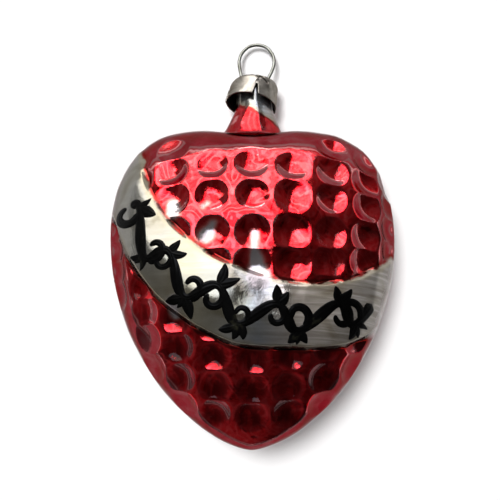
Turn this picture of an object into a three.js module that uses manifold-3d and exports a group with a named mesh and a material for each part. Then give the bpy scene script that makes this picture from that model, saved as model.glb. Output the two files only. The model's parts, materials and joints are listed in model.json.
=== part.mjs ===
// A mould-blown glass heart ornament: a dimpled, silvered glass heart with a raised sash across its front,
// a stamped tin cap on its neck, and a wire hanger whose eye hangs on a hook.
// Millimetres. +Z runs up along the neck, the sash is on the -Y side, +X is to its right.
// The origin is the inside top of the hanger's eye, where the hook carries the ornament.
import * as THREE from 'three';
import { mergeVertices } from 'three/addons/utils/BufferGeometryUtils.js';
import Module from 'manifold-3d';

const wasm = await Module();
wasm.setup();

// Heart body, measured from its widest level
const heartWidth = 60;
const heartDepth = 33;
const lobeRise = 22.1;
const tipDrop = 45.7;
const shoulderRise = 20.5;
const lobeOffset = 11.5;
const cleftDepth = 1.2;
const lobeFullness = 2.62;
const shoulderFullness = 1.94;
const sectionFullness = 2.2;
const tipSharpness = 1.28;
const shoulderRootRadius = 5;

// Neck and its flare into the shoulders; the neck stands a little to the right of the heart's middle
const neckDiameter = 7.7;
const neckFootDiameter = 8.3;
const neckLength = 4.8;
const neckOffset = 0.35;
const flareHeight = 6.6;
const flareRadius = 8;
const flareSpread = 0.2;
const glassWall = 0.7;

// Dimples, in rows that bend with the outline
const dimpleDiameter = 7;
const dimpleDepth = 1.25;
const rimSoftness = 0.12;
const dimplePitch = 8.4;
const dimplePitchAtTip = 7.4;
const rowHeights = [17.5, 10.9, 3.8, -4.4, -11, -17.2, -23.2, -29.1, -35.1, -39.9];
const rowBend = 0.0004;
const straightRowHeight = -1.5;
const firstShoulderColumn = 2;
const sideColumn = 4;
const sideColumnLift = 3.6;
const seamMargin = 2.6;

// Sash: its two edges as the front view shows them, each from the left side to the right side
const sashRaise = 0.35;
const sashRaiseDepth = 8;
const sashEdgeRound = 1.2;
const sashUpperEdge = [
  [-24.5, 22], [-22.9, 14], [-21.6, 7.2], [-17.7, -0.4], [-11.2, -6.8], [-3.7, -11.1], [4.2, -13.7],
  [12.8, -14.5], [21.7, -12.2], [28.4, -7.3], [33, -3],
];
const sashLowerEdge = [
  [-32, 6], [-29.4, 2.4], [-27.5, -3], [-24.1, -10.1], [-18.9, -16.9], [-12.4, -22.2], [-3.8, -26.4],
  [5.5, -27.2], [16.2, -26.5], [22.5, -24], [28, -19],
];

// Tin cap: it sits crooked on the neck, a little to the left, and its crown is dented up on the right
const capPlay = 1.05;
const capHeight = 5.2;
const capSheet = 0.3;
const capCornerRadius = 1.1;
const capFlare = 0.25;
const capTiltBack = 11;
const capTiltRight = 9;
const capSlip = 0.2;
const capLift = 0.4;
const crownSkew = 0.1;
const slitWidth = 1.3;
const slitHeight = 2.6;
const slitCount = 4;
const slitTurn = 9;
const wireHoleClearance = 0.32;

// Wire hanger
const wireDiameter = 0.7;
const eyeWidth = 8.4;
const eyeStretch = 1.18;
const eyeRise = 10.8;
const legLength = 12;
const legClearance = 0.32;
const eyeLeanRight = 6;
const eyeLeanBack = 10;
const eyeOpening = 15;
const legSpread = 6.2;
const spreadHeight = 2.3;
const straightAboveCap = 0.4;

const seatGap = 0.3;

// Facets
const ringsOnNeck = 3;
const ringsOnFlare = 6;
const ringsOnBody = 48;
const pointsPerRing = 80;
const innerRingsOnFlare = 5;
const innerRings = 22;
const innerPointsPerRing = 40;
const capSegments = 40;
const edgeSteps = 60;
const cornerSteps = 5;
const holeSegments = 14;
const wireSides = 8;
const wireSteps = 72;

const radians = THREE.MathUtils.degToRad;
const clamp01 = (v) => Math.min(1, Math.max(0, v));
const smooth = (v) => { const s = clamp01(v); return s * s * (3 - 2 * s); };
const signedPower = (v, p) => Math.sign(v) * Math.abs(v) ** p;

// Heights worked out down the stack: eye, cap, neck, heart
const wireRadius = wireDiameter / 2;
const eyeRadius = (eyeWidth - wireDiameter) / 2;
const neckRadius = neckDiameter / 2;
const neckBoreRadius = neckRadius - glassWall;
const eyeAxis = new THREE.Vector3(
  Math.sin(radians(eyeLeanRight)),
  Math.sin(radians(eyeLeanBack)) * Math.cos(radians(eyeLeanRight)),
  Math.cos(radians(eyeLeanBack)) * Math.cos(radians(eyeLeanRight)),
);
const crownCentre = eyeAxis.clone().multiplyScalar(-(eyeRise - wireDiameter));
const capAxis = new THREE.Vector3(
  Math.sin(radians(capTiltRight)),
  Math.sin(radians(capTiltBack)) * Math.cos(radians(capTiltRight)),
  Math.cos(radians(capTiltBack)) * Math.cos(radians(capTiltRight)),
);
const capShift = new THREE.Vector3(capAxis.x, capAxis.y, 0).multiplyScalar(capHeight / 2);
const lipReach = neckRadius - capShift.length();
const lipDrop = (capSheet + lipReach * Math.hypot(capAxis.x, capAxis.y) + seatGap) / capAxis.z + capLift;
const lipHeight = crownCentre.z - lipDrop;
const neckFootHeight = lipHeight - neckLength;
const widestHeight = neckFootHeight - flareHeight - (lobeRise - cleftDepth);
const neckX = crownCentre.x;
const neckY = crownCentre.y;

// The outer glass surface, and the inner one that clears the dimples by the wall
const bodyInset = glassWall + dimpleDepth;
const outerForm = {
  halfWidth: heartWidth / 2,
  halfDepth: heartDepth / 2,
  lobeRise,
  shoulderRise,
  tipDrop,
  flareRadius,
  neckRadius,
  footRadius: neckFootDiameter / 2,
};
const innerForm = {
  halfWidth: heartWidth / 2 - bodyInset,
  halfDepth: heartDepth / 2 - bodyInset,
  lobeRise: lobeRise - bodyInset,
  shoulderRise: shoulderRise - bodyInset,
  tipDrop: tipDrop - 2 * bodyInset,
  flareRadius: flareRadius - glassWall,
  neckRadius: neckBoreRadius,
  footRadius: neckFootDiameter / 2 - glassWall,
};

function bezier(a, b, c, d, s) {
  const r = 1 - s;
  return [0, 1].map((i) => r * r * r * a[i] + 3 * r * r * s * b[i] + 3 * r * s * s * c[i] + s * s * s * d[i]);
}

// The outline over a lobe and down to the widest point, as [radius, height]
const cleftShare = 0.12;
function lobeOutline(form, s) {
  if (s < cleftShare) {
    const back = 1 - s / cleftShare;
    return [
      lobeOffset - (lobeOffset - form.flareRadius) * back,
      form.lobeRise - cleftDepth * back * back,
    ];
  }
  const turn = (s - cleftShare) / (1 - cleftShare) * Math.PI / 2;
  return [
    lobeOffset + (form.halfWidth - lobeOffset) * Math.sin(turn) ** (2 / lobeFullness),
    form.lobeRise * Math.cos(turn) ** (2 / shoulderFullness),
  ];
}

// The outline down the front shoulder to the deepest point
const shoulderStart = 0.12;
const shoulderRoundness = 2.1;
function shoulderOutline(form, s) {
  const turn = (shoulderStart + (1 - shoulderStart) * s) * Math.PI / 2;
  return [
    shoulderRootRadius + (form.halfDepth - shoulderRootRadius) * Math.sin(turn) ** (2 / shoulderRoundness),
    form.shoulderRise * Math.cos(turn),
  ];
}

// The neck's flare: steep at the neck, then round into the shoulder that starts at end and leaves along next
const neckHandle = 0.38;
const shoulderHandle = 0.27;
const shoulderHandleRise = 0.08;
function flareOutline(form, end, next, s) {
  const start = [form.footRadius, lobeRise - cleftDepth + flareHeight];
  const below = [start[0] + flareSpread * flareHeight, start[1] - neckHandle * flareHeight];
  const slope = Math.atan2(next[1] - end[1], next[0] - end[0]);
  const pull = shoulderHandle * flareHeight;
  const rise = shoulderHandleRise * flareHeight;
  const before = [end[0] - pull * Math.cos(slope), end[1] - pull * Math.sin(slope) + rise];
  return bezier(start, below, before, end, s);
}

// Radius and height of the side and the front outline: t is 0 at the mouth, 1 at the neck's foot, 2 where
// the flare ends, 3 at the widest level and 4 at the tip
function outlines(form, t) {
  const footLevel = lobeRise - cleftDepth + flareHeight;
  if (t <= 1) {
    const r = form.neckRadius + (form.footRadius - form.neckRadius) * t * t;
    const z = footLevel + neckLength * (1 - t);
    return { side: [r, z], front: [r, z] };
  }
  if (t <= 2) {
    const s = t - 1;
    return {
      side: flareOutline(form, lobeOutline(form, 0), lobeOutline(form, 0.01), s),
      front: flareOutline(form, shoulderOutline(form, 0), shoulderOutline(form, 0.01), s),
    };
  }
  if (t <= 3) return { side: lobeOutline(form, t - 2), front: shoulderOutline(form, t - 2) };
  const turn = (t - 3) * Math.PI / 2;
  const narrowing = Math.max(0, Math.cos(turn)) ** tipSharpness;
  const z = -form.tipDrop * Math.sin(turn);
  return { side: [form.halfWidth * narrowing, z], front: [form.halfDepth * narrowing, z] };
}

// The level next to the tip, where the surface still has a direction across
const lastLevel = 3.98;

// A point of the smooth surface: angle 0 is +X, and -90 degrees is the front
function smoothPoint(form, t, angle) {
  const { side, front } = outlines(form, t);
  const fromNeck = smooth(t - 1);
  const full = 2 + (sectionFullness - 2) * fromNeck;
  const c = Math.cos(angle);
  const s = Math.sin(angle);
  return new THREE.Vector3(
    side[0] * signedPower(c, 2 / full) + neckOffset * (1 - fromNeck),
    front[0] * signedPower(s, 2 / full),
    front[1] + (side[1] - front[1]) * c * c,
  );
}

function smoothNormal(form, t, angle) {
  const dt = 0.004;
  const da = 0.01;
  const t0 = Math.max(0, t - dt);
  const t1 = Math.min(lastLevel, t + dt);
  const down = smoothPoint(form, t1, angle).sub(smoothPoint(form, t0, angle));
  const round = smoothPoint(form, t, angle + da).sub(smoothPoint(form, t, angle - da));
  return round.cross(down).negate().normalize();
}

// Where a row of dimples crosses the direction of an angle
function rowPoint(rowHeight, angle) {
  const bend = rowBend * (straightRowHeight - rowHeight);
  let low = 2;
  let high = lastLevel;
  for (let i = 0; i < 30; i += 1) {
    const mid = (low + high) / 2;
    const p = smoothPoint(outerForm, mid, angle);
    if (p.z > rowHeight + bend * p.x * p.x) low = mid;
    else high = mid;
  }
  return smoothPoint(outerForm, low, angle);
}

// Dimple centres: each row is paced out from the front centre line, and mirrored to the left and to the back.
// The rows on the shoulder leave out their middle columns, where the neck flares.
const shoulderRowShare = 0.6;
function dimpleCentres() {
  const centres = [];
  const bottom = rowHeights[rowHeights.length - 1];
  for (const row of rowHeights) {
    const share = clamp01((rowHeights[0] - row) / (rowHeights[0] - bottom));
    const pitch = dimplePitch + (dimplePitchAtTip - dimplePitch) * share;
    const onShoulder = row > shoulderRowShare * lobeRise;
    let walked = 0;
    let column = 0;
    let last = rowPoint(row, -Math.PI / 2);
    for (let angle = -Math.PI / 2; angle < 0; angle += 0.004) {
      const p = rowPoint(row, angle);
      walked += p.distanceTo(last);
      last = p;
      if (walked < column * pitch) continue;
      if (p.y > -seamMargin) break;
      const lift = column >= sideColumn ? sideColumnLift : 0;
      const centre = lift ? rowPoint(row + lift, angle) : p;
      if (!(onShoulder && column < firstShoulderColumn)) {
        for (const side of column === 0 ? [1] : [1, -1]) {
          centres.push(new THREE.Vector3(side * centre.x, centre.y, centre.z));
          centres.push(new THREE.Vector3(side * centre.x, -centre.y, centre.z));
        }
      }
      column += 1;
    }
  }
  return centres;
}
const dimples = dimpleCentres();

// How deep the dimples press a point in: round bowls whose rims are a little rounded
const rimReach = 1.4;
function dimpleAt(p) {
  const radius = dimpleDiameter / 2;
  let depth = 0;
  for (const centre of dimples) {
    const d = centre.distanceTo(p) / radius;
    if (d > rimReach) continue;
    const bowl = 1 - d * d;
    depth = Math.max(depth, dimpleDepth * (bowl + Math.sqrt(bowl * bowl + rimSoftness * rimSoftness)) / 2);
  }
  return depth;
}

// The sash outline as one closed loop in the front view
function sashLoop() {
  const edge = (points) => {
    const places = points.map(([x, z]) => new THREE.Vector2(x, z));
    return new THREE.SplineCurve(places).getPoints(edgeSteps);
  };
  return [...edge(sashUpperEdge), ...edge(sashLowerEdge).reverse()];
}
const sash = sashLoop();

// Distance inside the sash's edge in the front view, negative outside it
function insideSash(x, z) {
  let nearest = Infinity;
  let inside = false;
  const count = sash.length;
  for (let i = 0; i < count; i += 1) {
    const a = sash[i];
    const b = sash[(i + 1) % count];
    const dx = b.x - a.x;
    const dz = b.y - a.y;
    const along = clamp01(((x - a.x) * dx + (z - a.y) * dz) / (dx * dx + dz * dz || 1));
    nearest = Math.min(nearest, Math.hypot(x - a.x - along * dx, z - a.y - along * dz));
    if ((a.y > z) !== (b.y > z) && x < a.x + (z - a.y) / (b.y - a.y) * dx) inside = !inside;
  }
  return inside ? nearest : -nearest;
}

// The moulded outer surface: the smooth form, pressed in at the dimples and raised along the sash. The sash
// ends at the seam between front and back, and its raise dies away towards it.
const flareMiddle = 1.5;
const sashEnd = 1.5;
function mouldedPoint(t, angle) {
  const p = smoothPoint(outerForm, t, angle);
  if (t <= flareMiddle) return p;
  const onFront = smooth(0.5 - p.y / sashEnd);
  const onSash = onFront * smooth((insideSash(p.x, p.z) + sashEdgeRound / 2) / sashEdgeRound);
  const raise = sashRaise * smooth(-p.y / sashRaiseDepth);
  const offset = raise * onSash - dimpleAt(p) * (1 - onSash);
  return p.addScaledVector(smoothNormal(outerForm, t, angle), offset);
}

// Ring levels, evenly spaced along the outline in each stretch
function evenLevels(form, from, to, count) {
  const fine = 400;
  const lengths = [0];
  let before = outlines(form, from);
  for (let i = 1; i <= fine; i += 1) {
    const now = outlines(form, from + (to - from) * i / fine);
    const step = (Math.hypot(now.side[0] - before.side[0], now.side[1] - before.side[1])
      + Math.hypot(now.front[0] - before.front[0], now.front[1] - before.front[1])) / 2;
    lengths.push(lengths[i - 1] + step);
    before = now;
  }
  const levels = [];
  let i = 0;
  for (let k = 0; k < count; k += 1) {
    const want = lengths[fine] * k / count;
    while (lengths[i + 1] < want) i += 1;
    const part = (want - lengths[i]) / (lengths[i + 1] - lengths[i]);
    levels.push(from + (to - from) * (i + part) / fine);
  }
  return levels;
}

// Angles round a ring, evenly spaced along the widest section, with one at each side, front and back
function evenAngles(count) {
  const quarter = count / 4;
  const fine = 300;
  const lengths = [0];
  let before = smoothPoint(outerForm, 3, 0);
  for (let i = 1; i <= fine; i += 1) {
    const now = smoothPoint(outerForm, 3, i / fine * Math.PI / 2);
    lengths.push(lengths[i - 1] + now.distanceTo(before));
    before = now;
  }
  const first = [];
  let i = 0;
  for (let k = 0; k < quarter; k += 1) {
    const want = lengths[fine] * k / quarter;
    while (lengths[i + 1] < want) i += 1;
    first.push((i + (want - lengths[i]) / (lengths[i + 1] - lengths[i])) / fine * Math.PI / 2);
  }
  const second = first.map((a) => Math.PI - a).slice(1).reverse();
  const half = [...first, Math.PI / 2, ...second];
  return [...half, ...half.map((a) => a + Math.PI)];
}

// A closed skin from rings of points: outer rings down to the tip, inner rings down to its own bottom
class Skin {
  constructor() {
    this.points = [];
    this.faces = [];
  }

  ring(points) {
    const start = this.points.length;
    this.points.push(...points);
    return points.map((_, i) => start + i);
  }

  // Joins two rings that run anticlockwise seen from above, the upper one first, facing away from the axis
  band(upper, lower, facingIn = false) {
    const a = upper.length;
    const b = lower.length;
    let i = 0;
    let j = 0;
    while (i < a || j < b) {
      const stepUpper = j >= b || (i < a && (i + 1) / a <= (j + 1) / b);
      const face = stepUpper
        ? [upper[i % a], lower[j % b], upper[(i + 1) % a]]
        : [upper[i % a], lower[j % b], lower[(j + 1) % b]];
      if (stepUpper) i += 1;
      else j += 1;
      this.faces.push(facingIn ? face.reverse() : face);
    }
  }

  closeAt(ring, tip, facingIn = false) {
    const [end] = this.ring([tip]);
    ring.forEach((v, i) => {
      const face = [v, end, ring[(i + 1) % ring.length]];
      this.faces.push(facingIn ? face.reverse() : face);
    });
  }

  geometry() {
    const geometry = new THREE.BufferGeometry();
    const numbers = this.points.flatMap((p) => p.toArray());
    geometry.setAttribute('position', new THREE.Float32BufferAttribute(numbers, 3));
    geometry.setIndex(this.faces.flat());
    return geometry;
  }
}

function glassHeart() {
  const skin = new Skin();
  const angles = evenAngles(pointsPerRing);
  const levels = [
    ...evenLevels(outerForm, 0, 1, ringsOnNeck),
    ...evenLevels(outerForm, 1, 2, ringsOnFlare),
    ...evenLevels(outerForm, 2, 4, ringsOnBody),
  ];
  const outer = levels.map((t) => skin.ring(angles.map((a) => mouldedPoint(t, a))));
  for (let i = 1; i < outer.length; i += 1) skin.band(outer[i - 1], outer[i]);
  skin.closeAt(outer[outer.length - 1], new THREE.Vector3(0, 0, -tipDrop));

  const innerAngles = evenAngles(innerPointsPerRing * 2).filter((_, i) => i % 2 === 0);
  const innerLevels = [
    0,
    ...evenLevels(innerForm, 1, 2, innerRingsOnFlare),
    ...evenLevels(innerForm, 2, 4, innerRings),
  ];
  const inner = innerLevels.map((t) => skin.ring(innerAngles.map((a) => smoothPoint(innerForm, t, a))));
  for (let i = 1; i < inner.length; i += 1) skin.band(inner[i - 1], inner[i], true);
  skin.closeAt(inner[inner.length - 1], new THREE.Vector3(0, 0, -innerForm.tipDrop), true);

  // The ground lip of the mouth, flat between the two walls
  skin.band(inner[0], outer[0]);
  return skin.geometry();
}

// Solids for cutting
function toSolid(geometry) {
  const plain = geometry.clone();
  plain.deleteAttribute('normal');
  plain.deleteAttribute('uv');
  const merged = mergeVertices(plain, 1e-5);
  return new wasm.Manifold(new wasm.Mesh({
    numProp: 3,
    vertProperties: new Float32Array(merged.attributes.position.array),
    triVerts: new Uint32Array(merged.index.array),
  }));
}

function toGeometry(solid) {
  const mesh = solid.getMesh();
  const geometry = new THREE.BufferGeometry();
  geometry.setAttribute('position', new THREE.Float32BufferAttribute(mesh.vertProperties, 3));
  geometry.setIndex(Array.from(mesh.triVerts));
  return geometry;
}

// The cap's seat: it sits crooked on the lip
const capSeat = new THREE.Object3D();
capSeat.quaternion.setFromUnitVectors(new THREE.Vector3(0, 0, 1), capAxis);
capSeat.position.copy(crownCentre).add(capShift);
capSeat.position.x -= capSlip;
const legX = neckBoreRadius - wireRadius - legClearance;

const slitTopShare = 0.3;
function neckCap() {
  const bore = neckRadius + capPlay;
  const top = bore + capSheet;
  const bend = Math.min(capCornerRadius, capHeight / 3);
  const corner = (radius) => Array.from({ length: cornerSteps + 1 }, (_, i) => {
    const a = Math.PI / 2 * (1 - i / cornerSteps);
    return new THREE.Vector2(top - bend + radius * Math.cos(a), radius * Math.sin(a) - bend);
  });
  const outside = [new THREE.Vector2(0, 0), ...corner(bend)];
  const rim = [new THREE.Vector2(top + capFlare, -capHeight), new THREE.Vector2(bore + capFlare, -capHeight)];
  const inside = corner(bend - capSheet).reverse();
  const profile = [...outside, ...rim, ...inside, new THREE.Vector2(0, -capSheet)].reverse();
  const shell = new THREE.LatheGeometry(profile, capSegments);
  shell.rotateX(Math.PI / 2);
  const places = shell.attributes.position;
  for (let i = 0; i < places.count; i += 1) {
    const aboveRim = 1 + places.getZ(i) / capHeight;
    places.setZ(i, places.getZ(i) + crownSkew * places.getX(i) * aboveRim);
  }
  let solid = toSolid(shell);

  // Slits in the skirt, one near the front and the rest evenly round, narrowing upwards
  for (let i = 0; i < slitCount; i += 1) {
    const half = slitWidth / 2;
    const topHalf = slitTopShare * half;
    const wedge = new THREE.Shape();
    wedge.moveTo(-half, -slitHeight / 2);
    wedge.lineTo(half, -slitHeight / 2);
    wedge.lineTo(topHalf, slitHeight);
    wedge.lineTo(-topHalf, slitHeight);
    wedge.closePath();
    const cutter = new THREE.ExtrudeGeometry(wedge, { depth: top, bevelEnabled: false });
    cutter.rotateX(Math.PI / 2);
    cutter.translate(0, -bore / 2, -capHeight);
    cutter.rotateZ(radians(slitTurn + i * 360 / slitCount));
    solid = solid.subtract(toSolid(cutter));
  }

  // Two holes for the hanger's legs, upright through the crooked crown
  capSeat.updateMatrix();
  const toCap = capSeat.matrix.clone().invert();
  for (const side of [-1, 1]) {
    const holeRadius = wireRadius + wireHoleClearance;
    const hole = new THREE.CylinderGeometry(holeRadius, holeRadius, capHeight, holeSegments);
    hole.rotateX(Math.PI / 2);
    hole.translate(crownCentre.x + side * legX, crownCentre.y, crownCentre.z);
    hole.applyMatrix4(toCap);
    solid = solid.subtract(toSolid(hole));
  }
  return toGeometry(solid);
}

// The hanger: a leg up through each hole, spread apart above the cap, and one round eye that leans a little
const legPoints = 8;
const eyePoints = 12;
function hangerWire() {
  const eyeHalfHeight = eyeRadius * eyeStretch;
  const eyeCentre = eyeAxis.clone().multiplyScalar(wireRadius - eyeHalfHeight);
  const acrossEye = new THREE.Vector3(1, 0, 0).addScaledVector(eyeAxis, -eyeAxis.x).normalize();
  const bottom = crownCentre.z - legLength;
  const top = crownCentre.z + straightAboveCap;
  const half = Array.from({ length: legPoints }, (_, i) => (
    new THREE.Vector3(neckX + legX, neckY, bottom + (top - bottom) * i / (legPoints - 1))
  ));
  const spread = (side) => crownCentre.clone()
    .addScaledVector(acrossEye, side * legSpread / 2)
    .addScaledVector(eyeAxis, spreadHeight);
  const eye = [spread(1)];
  for (let i = 0; i <= eyePoints; i += 1) {
    const a = radians((180 + 2 * eyeOpening) * i / eyePoints - eyeOpening);
    eye.push(eyeCentre.clone()
      .addScaledVector(acrossEye, eyeRadius * Math.cos(a))
      .addScaledVector(eyeAxis, eyeHalfHeight * Math.sin(a)));
  }
  eye.push(spread(-1));
  const other = half.map((p) => new THREE.Vector3(2 * neckX - p.x, p.y, p.z)).reverse();
  const route = new THREE.CatmullRomCurve3([...half, ...eye, ...other], false, 'centripetal');
  const section = new THREE.Shape();
  for (let i = 0; i < wireSides; i += 1) {
    const a = i / wireSides * 2 * Math.PI;
    const x = wireRadius * Math.cos(a);
    const y = wireRadius * Math.sin(a);
    if (i === 0) section.moveTo(x, y);
    else section.lineTo(x, y);
  }
  section.closePath();
  return new THREE.ExtrudeGeometry(section, { steps: wireSteps, extrudePath: route, curveSegments: 1 });
}

function piece(name, geometry, color, metalness, roughness) {
  const material = new THREE.MeshStandardMaterial({ color, metalness, roughness });
  const mesh = new THREE.Mesh(geometry, material);
  mesh.name = name;
  return mesh;
}

const ornament = new THREE.Group();

const heart = piece('glass_heart', glassHeart(), 0xa8101c, 0.85, 0.12);
heart.position.set(neckX - neckOffset, neckY, widestHeight);
ornament.add(heart);

const cap = piece('neck_cap', neckCap(), 0x9a9488, 0.9, 0.35);
cap.position.copy(capSeat.position);
cap.quaternion.copy(capSeat.quaternion);
ornament.add(cap);

ornament.add(piece('hanger_wire', hangerWire(), 0xa9a79c, 0.95, 0.3));

export default ornament;
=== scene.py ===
"""A mould-blown glass heart ornament with a tin cap and a wire hanger, lying on its back on a white table.

Sizes are millimetres on the real ornament, and MM turns them into Blender's metres. The heart, its sash and
its dimples follow the same outlines as the CAD solids, at a finer pitch.
"""
import json
import math

import bmesh
import bpy
import numpy as np
from mathutils import Matrix, Vector
from mathutils.bvhtree import BVHTree


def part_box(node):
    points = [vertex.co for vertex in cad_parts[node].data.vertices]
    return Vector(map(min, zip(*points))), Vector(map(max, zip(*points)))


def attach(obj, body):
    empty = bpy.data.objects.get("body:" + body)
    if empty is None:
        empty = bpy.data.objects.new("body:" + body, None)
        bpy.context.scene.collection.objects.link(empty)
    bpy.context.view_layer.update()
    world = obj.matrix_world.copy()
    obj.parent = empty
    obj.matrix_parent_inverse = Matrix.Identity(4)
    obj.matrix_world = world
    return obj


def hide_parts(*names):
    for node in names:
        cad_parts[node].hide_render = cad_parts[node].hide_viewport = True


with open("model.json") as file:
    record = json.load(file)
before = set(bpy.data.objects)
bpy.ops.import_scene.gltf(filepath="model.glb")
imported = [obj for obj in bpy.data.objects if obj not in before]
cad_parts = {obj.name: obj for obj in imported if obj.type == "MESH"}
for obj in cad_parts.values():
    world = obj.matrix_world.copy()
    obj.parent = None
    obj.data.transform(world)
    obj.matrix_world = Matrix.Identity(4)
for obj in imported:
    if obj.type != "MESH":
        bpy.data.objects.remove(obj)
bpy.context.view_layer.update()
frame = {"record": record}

MM = 0.001
rng = np.random.default_rng(7)

# The heart lies on its back with its top lower than its belly: across, down into the table, and up the heart
REST_TILT = math.radians(16)
RIGHT = Vector((1, 0, 0))
DOWN = Vector((0, math.cos(REST_TILT), math.sin(REST_TILT)))
UP = Vector((0, -math.sin(REST_TILT), math.cos(REST_TILT)))

# Heart body, measured from its widest level
HEART_WIDTH = 60.0
HEART_DEPTH = 33.0
LOBE_RISE = 22.1
TIP_DROP = 45.7
SHOULDER_RISE = 20.5
LOBE_OFFSET = 11.5
CLEFT_DEPTH = 1.2
CLEFT_SHARE = 0.12
LOBE_FULLNESS = 2.62
SHOULDER_FULLNESS = 1.94
SHOULDER_START = 0.12
SHOULDER_ROOT_RADIUS = 5.0
SHOULDER_ROUNDNESS = 2.1
SECTION_FULLNESS = 2.2
TIP_SHARPNESS = 1.28

# Neck, which stands a little to the right of the heart's middle
NECK_RADIUS = 3.85
NECK_FOOT_RADIUS = 4.15
NECK_LENGTH = 4.8
NECK_OFFSET = 0.35
FLARE_HEIGHT = 6.6
FLARE_RADIUS = 8.0
FLARE_SPREAD = 0.2
NECK_HANDLE = 0.38
SHOULDER_HANDLE = 0.27
SHOULDER_HANDLE_RISE = 0.08
GLASS_WALL = 0.7

# Dimples
DIMPLE_DIAMETER = 7.0
DIMPLE_DIAMETER_AT_TIP = 6.6
DIMPLE_DEPTH = 1.25
DIMPLE_STRAY = 0.2
DIMPLE_RADIUS_RANGE = (0.96, 1.05)
DIMPLE_DEPTH_RANGE = (0.9, 1.12)
FAINT_SHOULDER = 0.5
RIM_SOFTNESS = 0.08
DIMPLE_PITCH = 8.4
DIMPLE_PITCH_AT_TIP = 7.4
ROW_HEIGHTS = [17.5, 10.9, 3.8, -4.4, -11.0, -17.2, -23.2, -29.1, -35.1, -39.9]
ROW_BEND = 0.0004
STRAIGHT_ROW_HEIGHT = -1.5
SHOULDER_ROW_SHARE = 0.6
FIRST_SHOULDER_COLUMN = 2
SIDE_COLUMN = 4
SIDE_COLUMN_LIFT = 3.6
SEAM_MARGIN = 2.6

# Sash
SASH_RAISE = 0.35
SASH_RAISE_DEPTH = 8.0
SASH_EDGE_ROUND = 1.2
SASH_SEAM_EASE = 1.5
SASH_UPPER = [
    (-24.5, 22), (-22.9, 14), (-21.6, 7.2), (-17.7, -0.4), (-11.2, -6.8), (-3.7, -11.1), (4.2, -13.7),
    (12.8, -14.5), (21.7, -12.2), (28.4, -7.3), (33, -3)]
SASH_LOWER = [
    (-32, 6), (-29.4, 2.4), (-27.5, -3), (-24.1, -10.1), (-18.9, -16.9), (-12.4, -22.2), (-3.8, -26.4),
    (5.5, -27.2), (16.2, -26.5), (22.5, -24), (28, -19)]

# Places from the frame
heart_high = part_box("glass_heart")[1]
turn_joint = next(j for j in frame["record"]["behaviour"]["joints"] if j["name"] == "heart_turn")
NECK_X, NECK_Y = (v / MM for v in turn_joint["pos_m"][:2])
HEART_X = NECK_X - NECK_OFFSET
LIP_HEIGHT = heart_high[2] / MM
WIDEST_HEIGHT = LIP_HEIGHT - NECK_LENGTH - FLARE_HEIGHT - (LOBE_RISE - CLEFT_DEPTH)


def smooth(v):
    s = np.clip(v, 0, 1)
    return s * s * (3 - 2 * s)


def fade(v, start, length):
    """From 0 at start to 1 one length on."""
    return smooth((v - start) / length)


def signed_power(v, p):
    return np.sign(v) * np.abs(v) ** p


def unit(v):
    return v / np.maximum(np.linalg.norm(v, axis=-1, keepdims=True), 1e-12)


def length_along(line):
    """How far each point of a line lies along it."""
    return np.concatenate([[0], np.cumsum(np.linalg.norm(np.diff(line, axis=0), axis=1))])


def lobe_outline(s):
    """Radius and height over a lobe, from the end of the flare (0) to the widest point (1)."""
    if s < CLEFT_SHARE:
        back = 1 - s / CLEFT_SHARE
        return LOBE_OFFSET - (LOBE_OFFSET - FLARE_RADIUS) * back, LOBE_RISE - CLEFT_DEPTH * back * back
    turn = (s - CLEFT_SHARE) / (1 - CLEFT_SHARE) * math.pi / 2
    radius = LOBE_OFFSET + (HEART_WIDTH / 2 - LOBE_OFFSET) * math.sin(turn) ** (2 / LOBE_FULLNESS)
    return radius, LOBE_RISE * max(0, math.cos(turn)) ** (2 / SHOULDER_FULLNESS)


def shoulder_outline(s):
    """Radius and height down the front shoulder to the deepest point."""
    turn = (SHOULDER_START + (1 - SHOULDER_START) * s) * math.pi / 2
    reach = HEART_DEPTH / 2 - SHOULDER_ROOT_RADIUS
    radius = SHOULDER_ROOT_RADIUS + reach * math.sin(turn) ** (2 / SHOULDER_ROUNDNESS)
    return radius, SHOULDER_RISE * math.cos(turn)


def flare_outline(end, after, s):
    start = (NECK_FOOT_RADIUS, LOBE_RISE - CLEFT_DEPTH + FLARE_HEIGHT)
    below = (start[0] + FLARE_SPREAD * FLARE_HEIGHT, start[1] - NECK_HANDLE * FLARE_HEIGHT)
    slope = math.atan2(after[1] - end[1], after[0] - end[0])
    pull = SHOULDER_HANDLE * FLARE_HEIGHT
    rise = SHOULDER_HANDLE_RISE * FLARE_HEIGHT
    before = (end[0] - pull * math.cos(slope), end[1] - pull * math.sin(slope) + rise)
    r = 1 - s
    return tuple(r**3 * start[i] + 3 * r * r * s * below[i] + 3 * r * s * s * before[i] + s**3 * end[i]
                 for i in (0, 1))


def outlines(t):
    """Side and front (radius, height): t is 0 at the mouth, 1 at the neck's foot, 2 where the flare ends,
    3 at the widest level and 4 at the tip."""
    if t <= 1:
        radius = NECK_RADIUS + (NECK_FOOT_RADIUS - NECK_RADIUS) * t * t
        height = LOBE_RISE - CLEFT_DEPTH + FLARE_HEIGHT + NECK_LENGTH * (1 - t)
        return (radius, height), (radius, height)
    if t <= 2:
        return (flare_outline(lobe_outline(0), lobe_outline(0.01), t - 1),
                flare_outline(shoulder_outline(0), shoulder_outline(0.01), t - 1))
    if t <= 3:
        return lobe_outline(t - 2), shoulder_outline(t - 2)
    turn = (t - 3) * math.pi / 2
    narrowing = max(0, math.cos(turn)) ** TIP_SHARPNESS
    height = -TIP_DROP * math.sin(turn)
    return (HEART_WIDTH / 2 * narrowing, height), (HEART_DEPTH / 2 * narrowing, height)


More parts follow.
